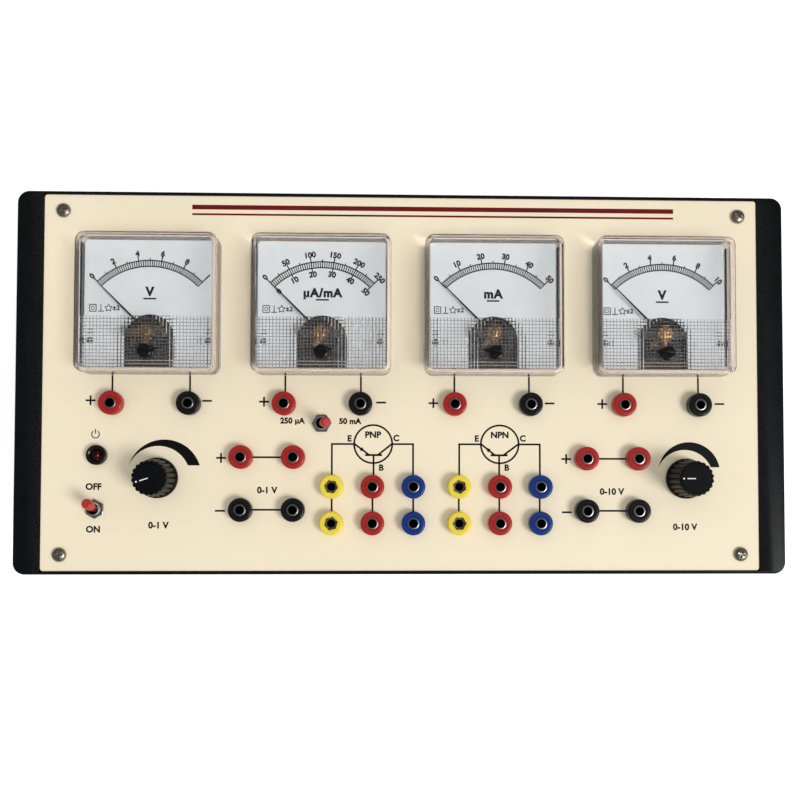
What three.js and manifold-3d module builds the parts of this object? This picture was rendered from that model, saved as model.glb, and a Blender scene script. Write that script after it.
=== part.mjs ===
// Transistor characteristics trainer: a moulded bench case with a printed front panel that carries
// four moving-coil panel meters, 4 mm sockets, two voltage controls, two toggle switches and a lamp.
// Units are millimetres, +Z is up. The origin is on the table, under the middle of the case.
import * as THREE from 'three';
import { mergeVertices } from 'three/addons/utils/BufferGeometryUtils.js';
import Module from 'manifold-3d';

const wasm = await Module();
wasm.setup();

// Case
const CASE_LENGTH = 365;
const CASE_DEPTH = 181;
const CASE_HEIGHT = 70;
const CASE_CORNER = 5.5;
const CASE_DRAFT_ANGLE = 1.5;
const RIM_ROUND = 1.1;
const BASE_ROUND = 2.2;
const WALL = 3.2;
const FLOOR = 3;
const LIP = 1.6;
const END_RIM = 12.6;
const END_LEDGE = 3;
const RIM_THICKNESS = 4.2;
const FOOT_HEIGHT = 3;
const FOOT_RADIUS = 7;
const FOOT_INSET = 20;
const INNER_CORNER = 4;
const POCKET_CORNER = 1.5;
const POCKET_RIB = 2;
const POCKET_RIB_DROP = 14;
const POCKET_RIBS = 3;
const BOSS_RADIUS = 4.3;
const BOSS_WEB = 2;
const RIB_DROP = 5;
const BOSS_BORE_DEPTH = 16;
const WALL_RIB = 2.2;
const WALL_RIB_SHARES = [-0.24, 0, 0.24];
const POST_RADIUS = 3.2;
const POST_HEIGHT = 6;
const PEG_RADIUS = 1.2;
const PEG_HEIGHT = 3.4;

// Front panel and its screws
const PANEL_THICKNESS = 3;
const PANEL_SINK = 0.6;
const PANEL_CLEARANCE = 0.2;
const PANEL_CORNER = 1.2;
const SCREW_INSET_X = 8.9;
const SCREW_INSET_Y = 7.6;
const SCREW_HEAD_RADIUS = 3.4;
const SCREW_HEAD_HEIGHT = 2.2;
const SCREW_SHANK_RADIUS = 1.5;
const SCREW_LENGTH = 13;
const SCREW_RECESS_LENGTH = 3.8;
const SCREW_RECESS_WIDTH = 0.9;
const SCREW_RECESS_DEPTH = 1.3;

// Clearances shared by what fits together
const RUNNING_GAP = 0.3;
const HOLE_GAP = 0.25;
const SCREW_GAP = 0.5;
const OVERRUN = 1;

// Places on the panel, as shares of its length and depth measured from its middle
const METER_FIRST_SHARE = -0.3504;
const METER_PITCH_SHARE = 0.2373;
const METER_ROW_SHARE = 0.2023;
const TERMINAL_ROW_SHARE = -0.0571;
const LOW_OUTPUT_SHARES = [-0.189, -0.269];
const HIGH_OUTPUT_SHARES = [0.2915, -0.2714];
const OUTPUT_SPACING_SHARES = [0.0738, 0.1395];
const PNP_SHARES = [-0.0432, -0.3256];
const NPN_SHARES = [0.1339, -0.3256];
const TRANSISTOR_SPACING_SHARES = [0.0567, 0.1];
const LAMP_SHARES = [-0.4232, -0.1945];
const POWER_SWITCH_SHARES = [-0.4253, -0.3365];
const RANGE_SWITCH_SHARES = [-0.1139, -0.109];
const LOW_KNOB_SHARES = [-0.3397, -0.2545];
const HIGH_KNOB_SHARES = [0.3959, -0.2545];

// Panel meter
const METER_FACE = 65;
const METER_CORNER = 4.2;
const METER_HEIGHT = 13;
const METER_WALL = 2;
const METER_WINDOW = 1.8;
const METER_EDGE = 0.8;
const METER_BASE = 3;
const METER_BARREL_RADIUS = 26;
const METER_BARREL_DEPTH = 28;
const METER_BARREL_TAPER = 1.2;
const METER_BARREL_ROUND = 2.4;
const DIAL_THICKNESS = 0.8;
const DIAL_MARGIN = 0.4;
const TERMINAL_SPACING = 36;
const FIXING_STUD_SPACING = 50;
const FIXING_STUD_RADIUS = 1.5;
const FIXING_STUD_REACH = 8;
const FIXING_NUT_FLATS = 5.5;
const FIXING_NUT_HEIGHT = 2.4;
const CONTACT_STUD_SPACING = 26;
const CONTACT_STUD_RADIUS = 2;
const CONTACT_STUD_LENGTH = 7;
const PIVOT_DROP = 13.6;
const ARCH_WIDTH = 23;
const ARCH_HEIGHT = 25.5;
const ARCH_DEPTH = 2.2;
const MAGNET_BORE_RADIUS = 8;
const CORE_RADIUS = 5.2;
const CORE_HEIGHT = 7;
const CORE_DROP = 2.4;
const CORE_STRIP_WIDTH = 2.6;
const CORE_STRIP_THICKNESS = 1.6;
const BRIDGE_SPAN = 16.6;
const BRIDGE_WIDTH = 3.4;
const BRIDGE_THICKNESS = 0.9;
const BRIDGE_LEVEL = 7.6;

// Pointer and moving coil
const NEEDLE_LEVEL = 5.7;
const NEEDLE_REACH = 33.5;
const NEEDLE_ROOT = 1.1;
const NEEDLE_TIP = 0.5;
const NEEDLE_THICKNESS = 0.5;
const NEEDLE_TAIL = 6.5;
const NEEDLE_WEIGHT = 2.2;
const NEEDLE_REST_ANGLE = 45;
const POINTER_HUB_RADIUS = 1.9;
const POINTER_ROD_RADIUS = 0.5;
const COIL_THICKNESS = 0.9;
const COIL_WIDTH = 2.4;

// Zero adjuster in the meter's cover
const ZERO_DROP = 22.9;
const ZERO_HEAD_RADIUS = 3.25;
const ZERO_HEAD_HEIGHT = 1.2;
const ZERO_NECK_RADIUS = 2.2;
const ZERO_COLLAR_RADIUS = 3;
const ZERO_COLLAR_HEIGHT = 0.8;
const ZERO_SLOT_WIDTH = 0.9;
const ZERO_SLOT_DEPTH = 0.7;
const ZERO_PIN_RADIUS = 0.6;
const ZERO_PIN_OFFSET = 1.2;
const ZERO_PIN_LENGTH = 1.8;

// Four millimetre socket
const SOCKET_HEAD_RADIUS = 5.6;
const SOCKET_HEAD_HEIGHT = 5;
const SOCKET_CHAMFER = 0.9;
const SOCKET_BORE_RADIUS = 2;
const SOCKET_BORE_DEPTH = 14;
const SOCKET_SINK_FLATS = 5.7;
const SOCKET_SINK_DEPTH = 1.8;
const SOCKET_STEM_RADIUS = 3.9;
const SOCKET_NUT_FLATS = 10;
const SOCKET_NUT_HEIGHT = 3;
const SOCKET_STEM_REACH = 7.5;
const SOCKET_TAG_LENGTH = 5;
const SOCKET_TAG_WIDTH = 2.8;
const SOCKET_TAG_THICKNESS = 1;
const LINK_WIRE_RADIUS = 0.7;

// Miniature toggle switch
const TOGGLE_TILT = 13;
const TOGGLE_BUSH_RADIUS = 3;
const TOGGLE_BUSH_HEIGHT = 4.6;
const TOGGLE_NUT_FLATS = 8;
const TOGGLE_NUT_HEIGHT = 1.8;
const TOGGLE_THROAT_RADIUS = 2.1;
const TOGGLE_MOUTH_RADIUS = 2.5;
const TOGGLE_PIVOT_HEIGHT = 1;
const TOGGLE_BORE_DEPTH = 4;
const TOGGLE_BALL_RADIUS = 1.8;
const TOGGLE_NECK_RADIUS = 0.95;
const TOGGLE_BAT_RADIUS = 1.3;
const TOGGLE_BAT_LENGTH = 13;
const TOGGLE_TAIL_LENGTH = 2.4;
const TOGGLE_CAP_RADIUS = 2.3;
const TOGGLE_CAP_WALL_GAP = 0.1;
const TOGGLE_CAP_LENGTH = 8.2;
const TOGGLE_CAP_ROUND = 0.9;
const TOGGLE_CASE_LENGTH = 13;
const TOGGLE_CASE_WIDTH = 8;
const TOGGLE_CASE_HEIGHT = 9.5;
const TOGGLE_LUG_LENGTH = 4;
const TOGGLE_LUG_WIDTH = 2;
const TOGGLE_LUG_THICKNESS = 0.8;
const TOGGLE_LUG_PITCH = 4.7;

// Voltage control and its knob
const POT_BUSH_RADIUS = 4.5;
const POT_BUSH_HEIGHT = 3;
const POT_NUT_FLATS = 11;
const POT_NUT_HEIGHT = 2;
const POT_BODY_RADIUS = 12;
const POT_BODY_HEIGHT = 9;
const POT_BODY_ROUND = 1.2;
const POT_BORE_DEPTH = 7;
const POT_LUG_LENGTH = 7;
const POT_LUG_WIDTH = 2.4;
const POT_LUG_THICKNESS = 0.8;
const POT_LUG_PITCH = 5;
const SHAFT_RADIUS = 3;
const KNOB_LIFT = 0.6;
const KNOB_BASE_RADIUS = 9.5;
const KNOB_TOP_RADIUS = 8.1;
const KNOB_HEIGHT = 16.6;
const KNOB_SKIRT_HEIGHT = 2.6;
const KNOB_SHOULDER = 0.5;
const KNOB_EDGE = 0.35;
const KNOB_FLUTE_DEPTH = 0.7;
const KNOB_FLUTES = 20;
const FLUTE_STEPS = 2;
const KNOB_HOLLOW_RADIUS = 7.4;
const KNOB_HOLLOW_DEPTH = 4.4;
const LOW_KNOB_ANGLE = 198;
const HIGH_KNOB_ANGLE = 180;

// Indicator lamp
const LAMP_HEAD_RADIUS = 4.7;
const LAMP_HEAD_HEIGHT = 3;
const LAMP_CHAMFER = 0.8;
const LAMP_STEM_RADIUS = 3.9;
const LAMP_STEM_REACH = 6;
const LAMP_NUT_FLATS = 10;
const LAMP_NUT_HEIGHT = 2.4;
const LENS_RADIUS = 2.5;
const LENS_FLANGE_RADIUS = 2.9;
const LENS_FLANGE_HEIGHT = 1;
const LENS_RISE = 0.9;
const LENS_LENGTH = 8.6;
const LEAD_THICKNESS = 0.5;
const LEAD_SPACING = 2.54;
const LEAD_LENGTH = 9;

// Mains transformer
const TRANSFORMER_SHARES = [-0.2, -0.3];
const TRANSFORMER_HEADROOM = 6.5;
const CORE_LENGTH = 48;
const CORE_STACK = 18;
const WINDING_LENGTH = 30;
const WINDING_DEPTH = 34;
const WINDING_MARGIN = 6;
const WINDING_ROUND = 4;
const STRAP = 1.4;
const STRAP_FOOT = 11;
const STRAP_HOLE_RADIUS = 1.9;
const TRANSFORMER_PAD = 2;
const TRANSFORMER_PAD_RADIUS = 4.5;

// Circuit board
const BOARD_SHARES = [0.2, -0.24];
const BOARD_LENGTH = 118;
const BOARD_DEPTH = 58;
const BOARD_THICKNESS = 1.6;
const BOARD_HOLE_INSET = 5;
const BIG_CAPACITOR_RADIUS = 6.5;
const BIG_CAPACITOR_HEIGHT = 20;
const SMALL_CAPACITOR_RADIUS = 4;
const SMALL_CAPACITOR_HEIGHT = 11;
const HEAT_SINK_LENGTH = 16;
const HEAT_SINK_DEPTH = 9;
const HEAT_SINK_HEIGHT = 18;
const HEAT_SINK_WEB = 1.6;
const CONNECTOR_LENGTH = 20;
const CONNECTOR_DEPTH = 9;
const CONNECTOR_HEIGHT = 9;
const BRIDGE_RECTIFIER_LENGTH = 15;
const BRIDGE_RECTIFIER_DEPTH = 4;
const BRIDGE_RECTIFIER_HEIGHT = 11;
const BIG_CAPACITOR_SHARES = [[-0.33, 0.2], [-0.33, -0.22]];
const SMALL_CAPACITOR_SHARES = [[-0.12, 0.28], [0.16, 0.28], [0.16, -0.3]];
const HEAT_SINK_SHARES = [[0.02, -0.05], [0.32, -0.05]];
const CONNECTOR_SHARES = [[-0.12, -0.36], [0.32, 0.34]];
const BRIDGE_RECTIFIER_SHARES = [-0.13, 0];

// Cord grommet in the rear wall
const GROMMET_SHARE = -0.34;
const GROMMET_LEVEL = 22;
const GROMMET_BORE_RADIUS = 3.8;
const GROMMET_NECK_RADIUS = 5.8;
const GROMMET_FLANGE_RADIUS = 7.8;
const GROMMET_FLANGE = 1.1;
const GROMMET_SIDES = 10;

// Facets
const CORNER_STEPS = 3;
const COARSE_CORNER_STEPS = 2;
const HEAD_SIDES = 10;
const SOCKET_SIDES = 10;
const STEM_SIDES = 8;
const HEX_SIDES = 6;
const HOLE_SIDES = 8;
const BORE_SIDES = 7;
const BARREL_SIDES = 16;
const MAGNET_SIDES = 12;
const ARCH_STEPS = 6;
const POT_SIDES = 12;

// Levels and places worked out from the sizes above
const INNER_DRAFT = Math.tan(THREE.MathUtils.degToRad(CASE_DRAFT_ANGLE));
const PANEL_TOP = CASE_HEIGHT - PANEL_SINK;
const PANEL_UNDERSIDE = PANEL_TOP - PANEL_THICKNESS;
const FLOOR_TOP = FOOT_HEIGHT + FLOOR;
const RECESS_LENGTH = CASE_LENGTH - 2 * END_RIM;
const RECESS_DEPTH = CASE_DEPTH - 2 * LIP;
const PANEL_LENGTH = RECESS_LENGTH - 2 * PANEL_CLEARANCE;
const PANEL_DEPTH = RECESS_DEPTH - 2 * PANEL_CLEARANCE;
const SCREW_X = PANEL_LENGTH / 2 - SCREW_INSET_X;
const SCREW_Y = PANEL_DEPTH / 2 - SCREW_INSET_Y;
const METER_INNER = METER_FACE - 2 * METER_WALL;
const METER_INNER_CORNER = METER_CORNER - METER_WALL;
const DIAL_SIZE = METER_INNER - 2 * DIAL_MARGIN;
const DIAL_TOP = METER_BASE + DIAL_THICKNESS;
const SHELF = METER_BASE - ARCH_DEPTH;
const CORE_TOP = SHELF - CORE_DROP;
const COIL_BOTTOM = CORE_TOP - CORE_HEIGHT - RUNNING_GAP - COIL_THICKNESS;
const SOCKET_REACH = PANEL_THICKNESS + SOCKET_STEM_REACH + SOCKET_TAG_LENGTH;
const TRANSFORMER_SEAT = FLOOR_TOP + TRANSFORMER_PAD;
const CORE_RISE = PANEL_TOP - SOCKET_REACH - TRANSFORMER_HEADROOM - STRAP - TRANSFORMER_SEAT;
const WINDING_RISE = CORE_RISE - 2 * WINDING_MARGIN;

// Solids from three.js geometry
function asSolid(geometry) {
  const bare = geometry.clone();
  bare.deleteAttribute('normal');
  bare.deleteAttribute('uv');
  const merged = mergeVertices(bare);
  const place = merged.attributes.position;
  const index = merged.index.array;
  const corners = [];
  for (let face = 0; face < index.length; face += 3) {
    const [a, b, c] = [index[face], index[face + 1], index[face + 2]];
    if (a !== b && b !== c && c !== a) {
      corners.push(a, b, c);
    }
  }
  if (signedVolume(place, corners) < 0) {
    corners.reverse();
  }
  return new wasm.Manifold(new wasm.Mesh({
    numProp: 3,
    vertProperties: new Float32Array(place.array),
    triVerts: new Uint32Array(corners),
  }));
}

function signedVolume(place, corners) {
  const [p, q, r] = [new THREE.Vector3(), new THREE.Vector3(), new THREE.Vector3()];
  let total = 0;
  for (let face = 0; face < corners.length; face += 3) {
    p.fromBufferAttribute(place, corners[face]);
    q.fromBufferAttribute(place, corners[face + 1]);
    r.fromBufferAttribute(place, corners[face + 2]);
    total += p.dot(q.cross(r));
  }
  return total;
}

function asGeometry(solid) {
  const mesh = solid.getMesh();
  const places = [];
  for (let vertex = 0; vertex < mesh.numVert; vertex += 1) {
    const start = vertex * mesh.numProp;
    places.push(...mesh.vertProperties.slice(start, start + 3));
  }
  const geometry = new THREE.BufferGeometry();
  geometry.setAttribute('position', new THREE.Float32BufferAttribute(places, 3));
  geometry.setIndex(Array.from(mesh.triVerts));
  return geometry;
}

function joined(solids) {
  return solids.reduce((whole, next) => whole.add(next));
}

function cutBy(solid, tools) {
  return tools.reduce((rest, tool) => rest.subtract(tool), solid);
}

// A skin over rings of points with the same count, closed at both ends by a fan
function loft(rings) {
  const count = rings[0].length;
  const places = rings.flat().flatMap((point) => [point.x, point.y, point.z]);
  const faces = [];
  for (let level = 0; level + 1 < rings.length; level += 1) {
    for (let step = 0; step < count; step += 1) {
      const here = level * count + step;
      const next = level * count + (step + 1) % count;
      faces.push(here, next, next + count, here, next + count, here + count);
    }
  }
  const ends = [[rings[0], 0, true], [rings.at(-1), (rings.length - 1) * count, false]];
  for (const [ring, start, flip] of ends) {
    const middle = places.length / 3;
    const centre = ring.reduce((sum, point) => sum.add(point), new THREE.Vector3()).divideScalar(count);
    places.push(centre.x, centre.y, centre.z);
    for (let step = 0; step < count; step += 1) {
      const [a, b] = [start + step, start + (step + 1) % count];
      faces.push(...(flip ? [middle, b, a] : [middle, a, b]));
    }
  }
  const geometry = new THREE.BufferGeometry();
  geometry.setAttribute('position', new THREE.Float32BufferAttribute(places, 3));
  geometry.setIndex(faces);
  return asSolid(geometry);
}

function roundedRing(length, depth, corner, level, steps = CORNER_STEPS) {
  const points = [];
  for (let quarter = 0; quarter < 4; quarter += 1) {
    const side = (quarter === 0 || quarter === 3) ? 1 : -1;
    const end = quarter < 2 ? 1 : -1;
    for (let step = 0; step <= steps; step += 1) {
      const angle = (quarter + step / steps) * Math.PI / 2;
      points.push(new THREE.Vector3(
        side * (length / 2 - corner) + corner * Math.cos(angle),
        end * (depth / 2 - corner) + corner * Math.sin(angle),
        level,
      ));
    }
  }
  return points;
}

function turned(profile, sides) {
  const points = profile.map(([radius, level]) => new THREE.Vector2(radius, level));
  const geometry = new THREE.LatheGeometry(points, sides);
  geometry.rotateX(Math.PI / 2);
  return asSolid(geometry);
}

function rod(radius, bottom, top, sides) {
  return turned([[0, bottom], [radius, bottom], [radius, top], [0, top]], sides);
}

function block(x0, x1, y0, y1, z0, z1) {
  const geometry = new THREE.BoxGeometry(x1 - x0, y1 - y0, z1 - z0);
  geometry.translate((x0 + x1) / 2, (y0 + y1) / 2, (z0 + z1) / 2);
  return asSolid(geometry);
}

function centredBlock(length, depth, z0, z1) {
  return block(-length / 2, length / 2, -depth / 2, depth / 2, z0, z1);
}

function hexagon(flats, bottom, top) {
  return rod(flats / Math.sqrt(3), bottom, top, HEX_SIDES);
}

function prism(points, bottom, top) {
  const shape = new THREE.Shape(points.map(([x, y]) => new THREE.Vector2(x, y)));
  const geometry = new THREE.ExtrudeGeometry(shape, { depth: top - bottom, bevelEnabled: false });
  geometry.translate(0, 0, bottom);
  return asSolid(geometry);
}

function placed(solid, x, y, z = 0) {
  return solid.translate([x, y, z]);
}

function mirroredCorners(x, y) {
  return [[-x, y], [x, y], [-x, -y], [x, -y]];
}

// Materials
function finish(colour, roughness, metalness = 0) {
  return new THREE.MeshStandardMaterial({ color: colour, roughness, metalness });
}

const materials = {
  blackCase: finish('#17181a', 0.42),
  creamPanel: finish('#f7e7cb', 0.38),
  clear: finish('#dfe3e6', 0.08),
  dial: finish('#eef0f3', 0.6),
  phenolic: finish('#1c1c1e', 0.5),
  needle: finish('#141414', 0.5),
  steel: finish('#b9bcc0', 0.3, 1),
  red: finish('#d8312c', 0.35),
  black: finish('#1d1e20', 0.35),
  yellow: finish('#f2d413', 0.35),
  blue: finish('#1f5fc8', 0.35),
  lens: finish('#5e1013', 0.15),
  rubber: finish('#202022', 0.8),
  transformer: finish('#8d8f93', 0.5, 1),
  board: finish('#a8772e', 0.6),
};

const model = new THREE.Group();

function addPiece(name, solid, material, parent = model) {
  const mesh = new THREE.Mesh(asGeometry(solid), material);
  mesh.name = name;
  parent.add(mesh);
  return mesh;
}

function groupAt(x, y, z, parent = model) {
  const group = new THREE.Group();
  group.position.set(x, y, z);
  parent.add(group);
  return group;
}

function onPanel([acrossShare, alongShare]) {
  return [acrossShare * PANEL_LENGTH, alongShare * PANEL_DEPTH];
}

// Case: a drafted tub with box-section ends, cored from below, and a recess that takes the panel
function insetAt(level) {
  return (CASE_HEIGHT - level) * INNER_DRAFT;
}

function caseRing(level, extraInset = 0) {
  const inset = insetAt(level) + extraInset;
  return roundedRing(CASE_LENGTH - 2 * inset, CASE_DEPTH - 2 * inset, CASE_CORNER, level);
}

function cavityRing(level) {
  const inset = insetAt(level);
  const length = RECESS_LENGTH - 2 * END_LEDGE - 2 * inset;
  const depth = CASE_DEPTH - 2 * WALL - 2 * inset;
  return roundedRing(length, depth, INNER_CORNER, level, COARSE_CORNER_STEPS);
}

function endPocket(side) {
  const top = CASE_HEIGHT - RIM_THICKNESS;
  const bottom = FOOT_HEIGHT - OVERRUN;
  const pocketRing = (level) => {
    const outer = CASE_LENGTH / 2 - WALL - insetAt(level);
    const inner = RECESS_LENGTH / 2 - insetAt(level) + (top - level) * INNER_DRAFT;
    const depth = CASE_DEPTH - 2 * WALL - 2 * insetAt(level);
    return roundedRing(outer - inner, depth, POCKET_CORNER, level, 1)
      .map((point) => point.setX(point.x + side * (outer + inner) / 2));
  };
  return loft([pocketRing(bottom), pocketRing(top)]);
}

function pocketRibs(side) {
  const top = (PANEL_UNDERSIDE + CASE_HEIGHT - RIM_THICKNESS) / 2;
  const bottom = top - POCKET_RIB_DROP;
  const inner = RECESS_LENGTH / 2 - END_LEDGE / 2;
  const outer = CASE_LENGTH / 2 - WALL / 2;
  const ribs = [];
  for (let index = 0; index < POCKET_RIBS; index += 1) {
    const y = ((index + 1) / (POCKET_RIBS + 1) - 1 / 2) * CASE_DEPTH;
    const [near, far] = side > 0 ? [inner, outer] : [-outer, -inner];
    ribs.push(block(near, far, y - POCKET_RIB / 2, y + POCKET_RIB / 2, bottom, top));
  }
  return ribs;
}

function screwBoss(x, y) {
  const wallX = Math.sign(x) * (RECESS_LENGTH / 2 - POCKET_CORNER);
  const wallY = Math.sign(y) * (CASE_DEPTH / 2 - WALL + POCKET_CORNER - insetAt(FLOOR_TOP));
  const bottom = FLOOR_TOP - FLOOR / 2;
  const [left, right] = [Math.min(x, wallX), Math.max(x, wallX)];
  const [front, back] = [Math.min(y, wallY), Math.max(y, wallY)];
  return joined([
    placed(rod(BOSS_RADIUS, bottom, PANEL_UNDERSIDE, HEAD_SIDES), x, y),
    block(left, right, y - BOSS_WEB / 2, y + BOSS_WEB / 2, bottom, PANEL_UNDERSIDE - RIB_DROP),
    block(x - BOSS_WEB / 2, x + BOSS_WEB / 2, front, back, bottom, PANEL_UNDERSIDE - RIB_DROP),
  ]);
}

function wallRibs() {
  const bottom = FLOOR_TOP - FLOOR / 2;
  const ribs = [];
  for (const share of WALL_RIB_SHARES) {
    for (const side of [-1, 1]) {
      const x = share * CASE_LENGTH;
      const outer = side * (CASE_DEPTH / 2 - WALL / 2 - insetAt(FLOOR_TOP));
      const inner = side * (CASE_DEPTH / 2 - WALL - WALL_RIB - insetAt(FLOOR_TOP));
      const [front, back] = [Math.min(outer, inner), Math.max(outer, inner)];
      ribs.push(block(x - WALL_RIB / 2, x + WALL_RIB / 2, front, back, bottom, PANEL_UNDERSIDE - RIB_DROP));
    }
  }
  return ribs;
}

function post(x, y, radius, height) {
  const bottom = FLOOR_TOP - FLOOR / 2;
  const seat = FLOOR_TOP + height;
  return placed(turned([
    [0, bottom], [radius, bottom], [radius, seat], [PEG_RADIUS, seat],
    [PEG_RADIUS, seat + PEG_HEIGHT], [0, seat + PEG_HEIGHT],
  ], HEX_SIDES), x, y);
}

const [transformerX, transformerY] = onPanel(TRANSFORMER_SHARES);
const [boardX, boardY] = onPanel(BOARD_SHARES);
const strapHoleX = CORE_LENGTH / 2 + STRAP_FOOT / 2 + STRAP;
const boardHoleX = BOARD_LENGTH / 2 - BOARD_HOLE_INSET;
const boardHoleY = BOARD_DEPTH / 2 - BOARD_HOLE_INSET;
const grommetX = GROMMET_SHARE * CASE_LENGTH;
const rearFace = CASE_DEPTH / 2 - insetAt(GROMMET_LEVEL);

function caseTub() {
  const shell = loft([
    caseRing(FOOT_HEIGHT, BASE_ROUND),
    caseRing(FOOT_HEIGHT + BASE_ROUND / 3, BASE_ROUND / 3),
    caseRing(FOOT_HEIGHT + BASE_ROUND),
    caseRing(CASE_HEIGHT - RIM_ROUND),
    caseRing(CASE_HEIGHT - RIM_ROUND / 3, RIM_ROUND / 3),
    caseRing(CASE_HEIGHT, RIM_ROUND),
  ]);
  const cavity = loft([cavityRing(FLOOR_TOP), cavityRing(CASE_HEIGHT)]);
  const recess = centredBlock(RECESS_LENGTH, RECESS_DEPTH, PANEL_UNDERSIDE, CASE_HEIGHT + OVERRUN);
  const hollow = cutBy(shell, [cavity, recess, endPocket(-1), endPocket(1)]);
  const footX = CASE_LENGTH / 2 - END_RIM - FOOT_INSET;
  const footY = CASE_DEPTH / 2 - FOOT_INSET;
  const feet = mirroredCorners(footX, footY).map(([x, y]) => placed(
    turned([
      [0, 0], [FOOT_RADIUS - FOOT_HEIGHT / 3, 0], [FOOT_RADIUS, FOOT_HEIGHT / 3],
      [FOOT_RADIUS, FOOT_HEIGHT + FLOOR / 2], [0, FOOT_HEIGHT + FLOOR / 2],
    ], HEAD_SIDES), x, y));
  const bosses = mirroredCorners(SCREW_X, SCREW_Y).map(([x, y]) => screwBoss(x, y));
  const posts = [
    ...mirroredCorners(boardHoleX, boardHoleY)
      .map(([x, y]) => post(boardX + x, boardY + y, POST_RADIUS, POST_HEIGHT)),
    post(transformerX - strapHoleX, transformerY, TRANSFORMER_PAD_RADIUS, TRANSFORMER_PAD),
    post(transformerX + strapHoleX, transformerY, TRANSFORMER_PAD_RADIUS, TRANSFORMER_PAD),
  ];
  const bores = mirroredCorners(SCREW_X, SCREW_Y).map(([x, y]) => placed(
    rod(SCREW_SHANK_RADIUS + SCREW_GAP, PANEL_UNDERSIDE - BOSS_BORE_DEPTH, CASE_HEIGHT, HEX_SIDES), x, y));
  const cordHole = rod(GROMMET_NECK_RADIUS + RUNNING_GAP, -WALL - OVERRUN, WALL + OVERRUN, GROMMET_SIDES)
    .rotate([90, 0, 0]).translate([grommetX, rearFace - WALL / 2, GROMMET_LEVEL]);
  const whole = joined([
    hollow, ...feet, ...bosses, ...wallRibs(), ...posts, ...pocketRibs(-1), ...pocketRibs(1),
  ]);
  return cutBy(whole, [...bores, cordHole]);
}

addPiece('case_tub', caseTub(), materials.blackCase);

// Rubber grommet that the mains cord would pass through
function grommet() {
  const half = WALL / 2 + RUNNING_GAP;
  const solid = turned([
    [GROMMET_BORE_RADIUS, -half - GROMMET_FLANGE], [GROMMET_FLANGE_RADIUS, -half - GROMMET_FLANGE],
    [GROMMET_FLANGE_RADIUS, -half], [GROMMET_NECK_RADIUS, -half],
    [GROMMET_NECK_RADIUS, half], [GROMMET_FLANGE_RADIUS, half],
    [GROMMET_FLANGE_RADIUS, half + GROMMET_FLANGE], [GROMMET_BORE_RADIUS, half + GROMMET_FLANGE],
    [GROMMET_BORE_RADIUS, -half - GROMMET_FLANGE],
  ], GROMMET_SIDES);
  return solid.rotate([-90 - CASE_DRAFT_ANGLE, 0, 0])
    .translate([grommetX, rearFace - WALL / 2, GROMMET_LEVEL]);
}

addPiece('cord_grommet', grommet(), materials.rubber);

// Where every piece on the panel goes
const meterNames = ['base_voltmeter', 'base_ammeter', 'collector_ammeter', 'collector_voltmeter'];
const meterPlaces = meterNames.map((name, index) => onPanel([
  METER_FIRST_SHARE + index * METER_PITCH_SHARE, METER_ROW_SHARE,
]));
const terminalY = TERMINAL_ROW_SHARE * PANEL_DEPTH;
const lowKnob = onPanel(LOW_KNOB_SHARES);
const highKnob = onPanel(HIGH_KNOB_SHARES);
const powerSwitch = onPanel(POWER_SWITCH_SHARES);
const rangeSwitch = onPanel(RANGE_SWITCH_SHARES);
const lamp = onPanel(LAMP_SHARES);

function pairAlongX(centreShares, spacingShare, rowShare) {
  const [x, y] = onPanel(centreShares);
  const half = spacingShare * PANEL_LENGTH / 2;
  const row = y + rowShare * PANEL_DEPTH;
  return [[x - half, row], [x + half, row]];
}

function pairAlongY(centreShares, columnShare, spacingShare) {
  const [x, y] = onPanel(centreShares);
  const half = spacingShare * PANEL_DEPTH / 2;
  const column = x + columnShare * PANEL_LENGTH;
  return [[column, y + half], [column, y - half]];
}

const [outputAcrossShare, outputAlongShare] = OUTPUT_SPACING_SHARES;
const [columnShare, rowShare] = TRANSISTOR_SPACING_SHARES;
const outputPair = (centreShares, side) => pairAlongX(
  centreShares, outputAcrossShare, side * outputAlongShare / 2);
const socketPairs = [
  ['output_low_red_pair', materials.red, outputPair(LOW_OUTPUT_SHARES, 1)],
  ['output_low_black_pair', materials.black, outputPair(LOW_OUTPUT_SHARES, -1)],
  ['output_high_red_pair', materials.red, outputPair(HIGH_OUTPUT_SHARES, 1)],
  ['output_high_black_pair', materials.black, outputPair(HIGH_OUTPUT_SHARES, -1)],
  ['pnp_emitter_pair', materials.yellow, pairAlongY(PNP_SHARES, -columnShare, rowShare)],
  ['pnp_base_pair', materials.red, pairAlongY(PNP_SHARES, 0, rowShare)],
  ['pnp_collector_pair', materials.blue, pairAlongY(PNP_SHARES, columnShare, rowShare)],
  ['npn_emitter_pair', materials.yellow, pairAlongY(NPN_SHARES, -columnShare, rowShare)],
  ['npn_base_pair', materials.red, pairAlongY(NPN_SHARES, 0, rowShare)],
  ['npn_collector_pair', materials.blue, pairAlongY(NPN_SHARES, columnShare, rowShare)],
];
const meterSockets = meterPlaces.flatMap(([x], index) => [
  [`${meterNames[index]}_red_socket`, materials.red, [x - TERMINAL_SPACING / 2, terminalY]],
  [`${meterNames[index]}_black_socket`, materials.black, [x + TERMINAL_SPACING / 2, terminalY]],
]);

// Front panel: one plate with every hole that its pieces need
function circle(x, y, radius, sides, turn = 0) {
  const points = [];
  for (let side = 0; side < sides; side += 1) {
    const angle = turn + side * 2 * Math.PI / sides;
    points.push(new THREE.Vector2(x + radius * Math.cos(angle), y + radius * Math.sin(angle)));
  }
  return new THREE.Path(points);
}

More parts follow.
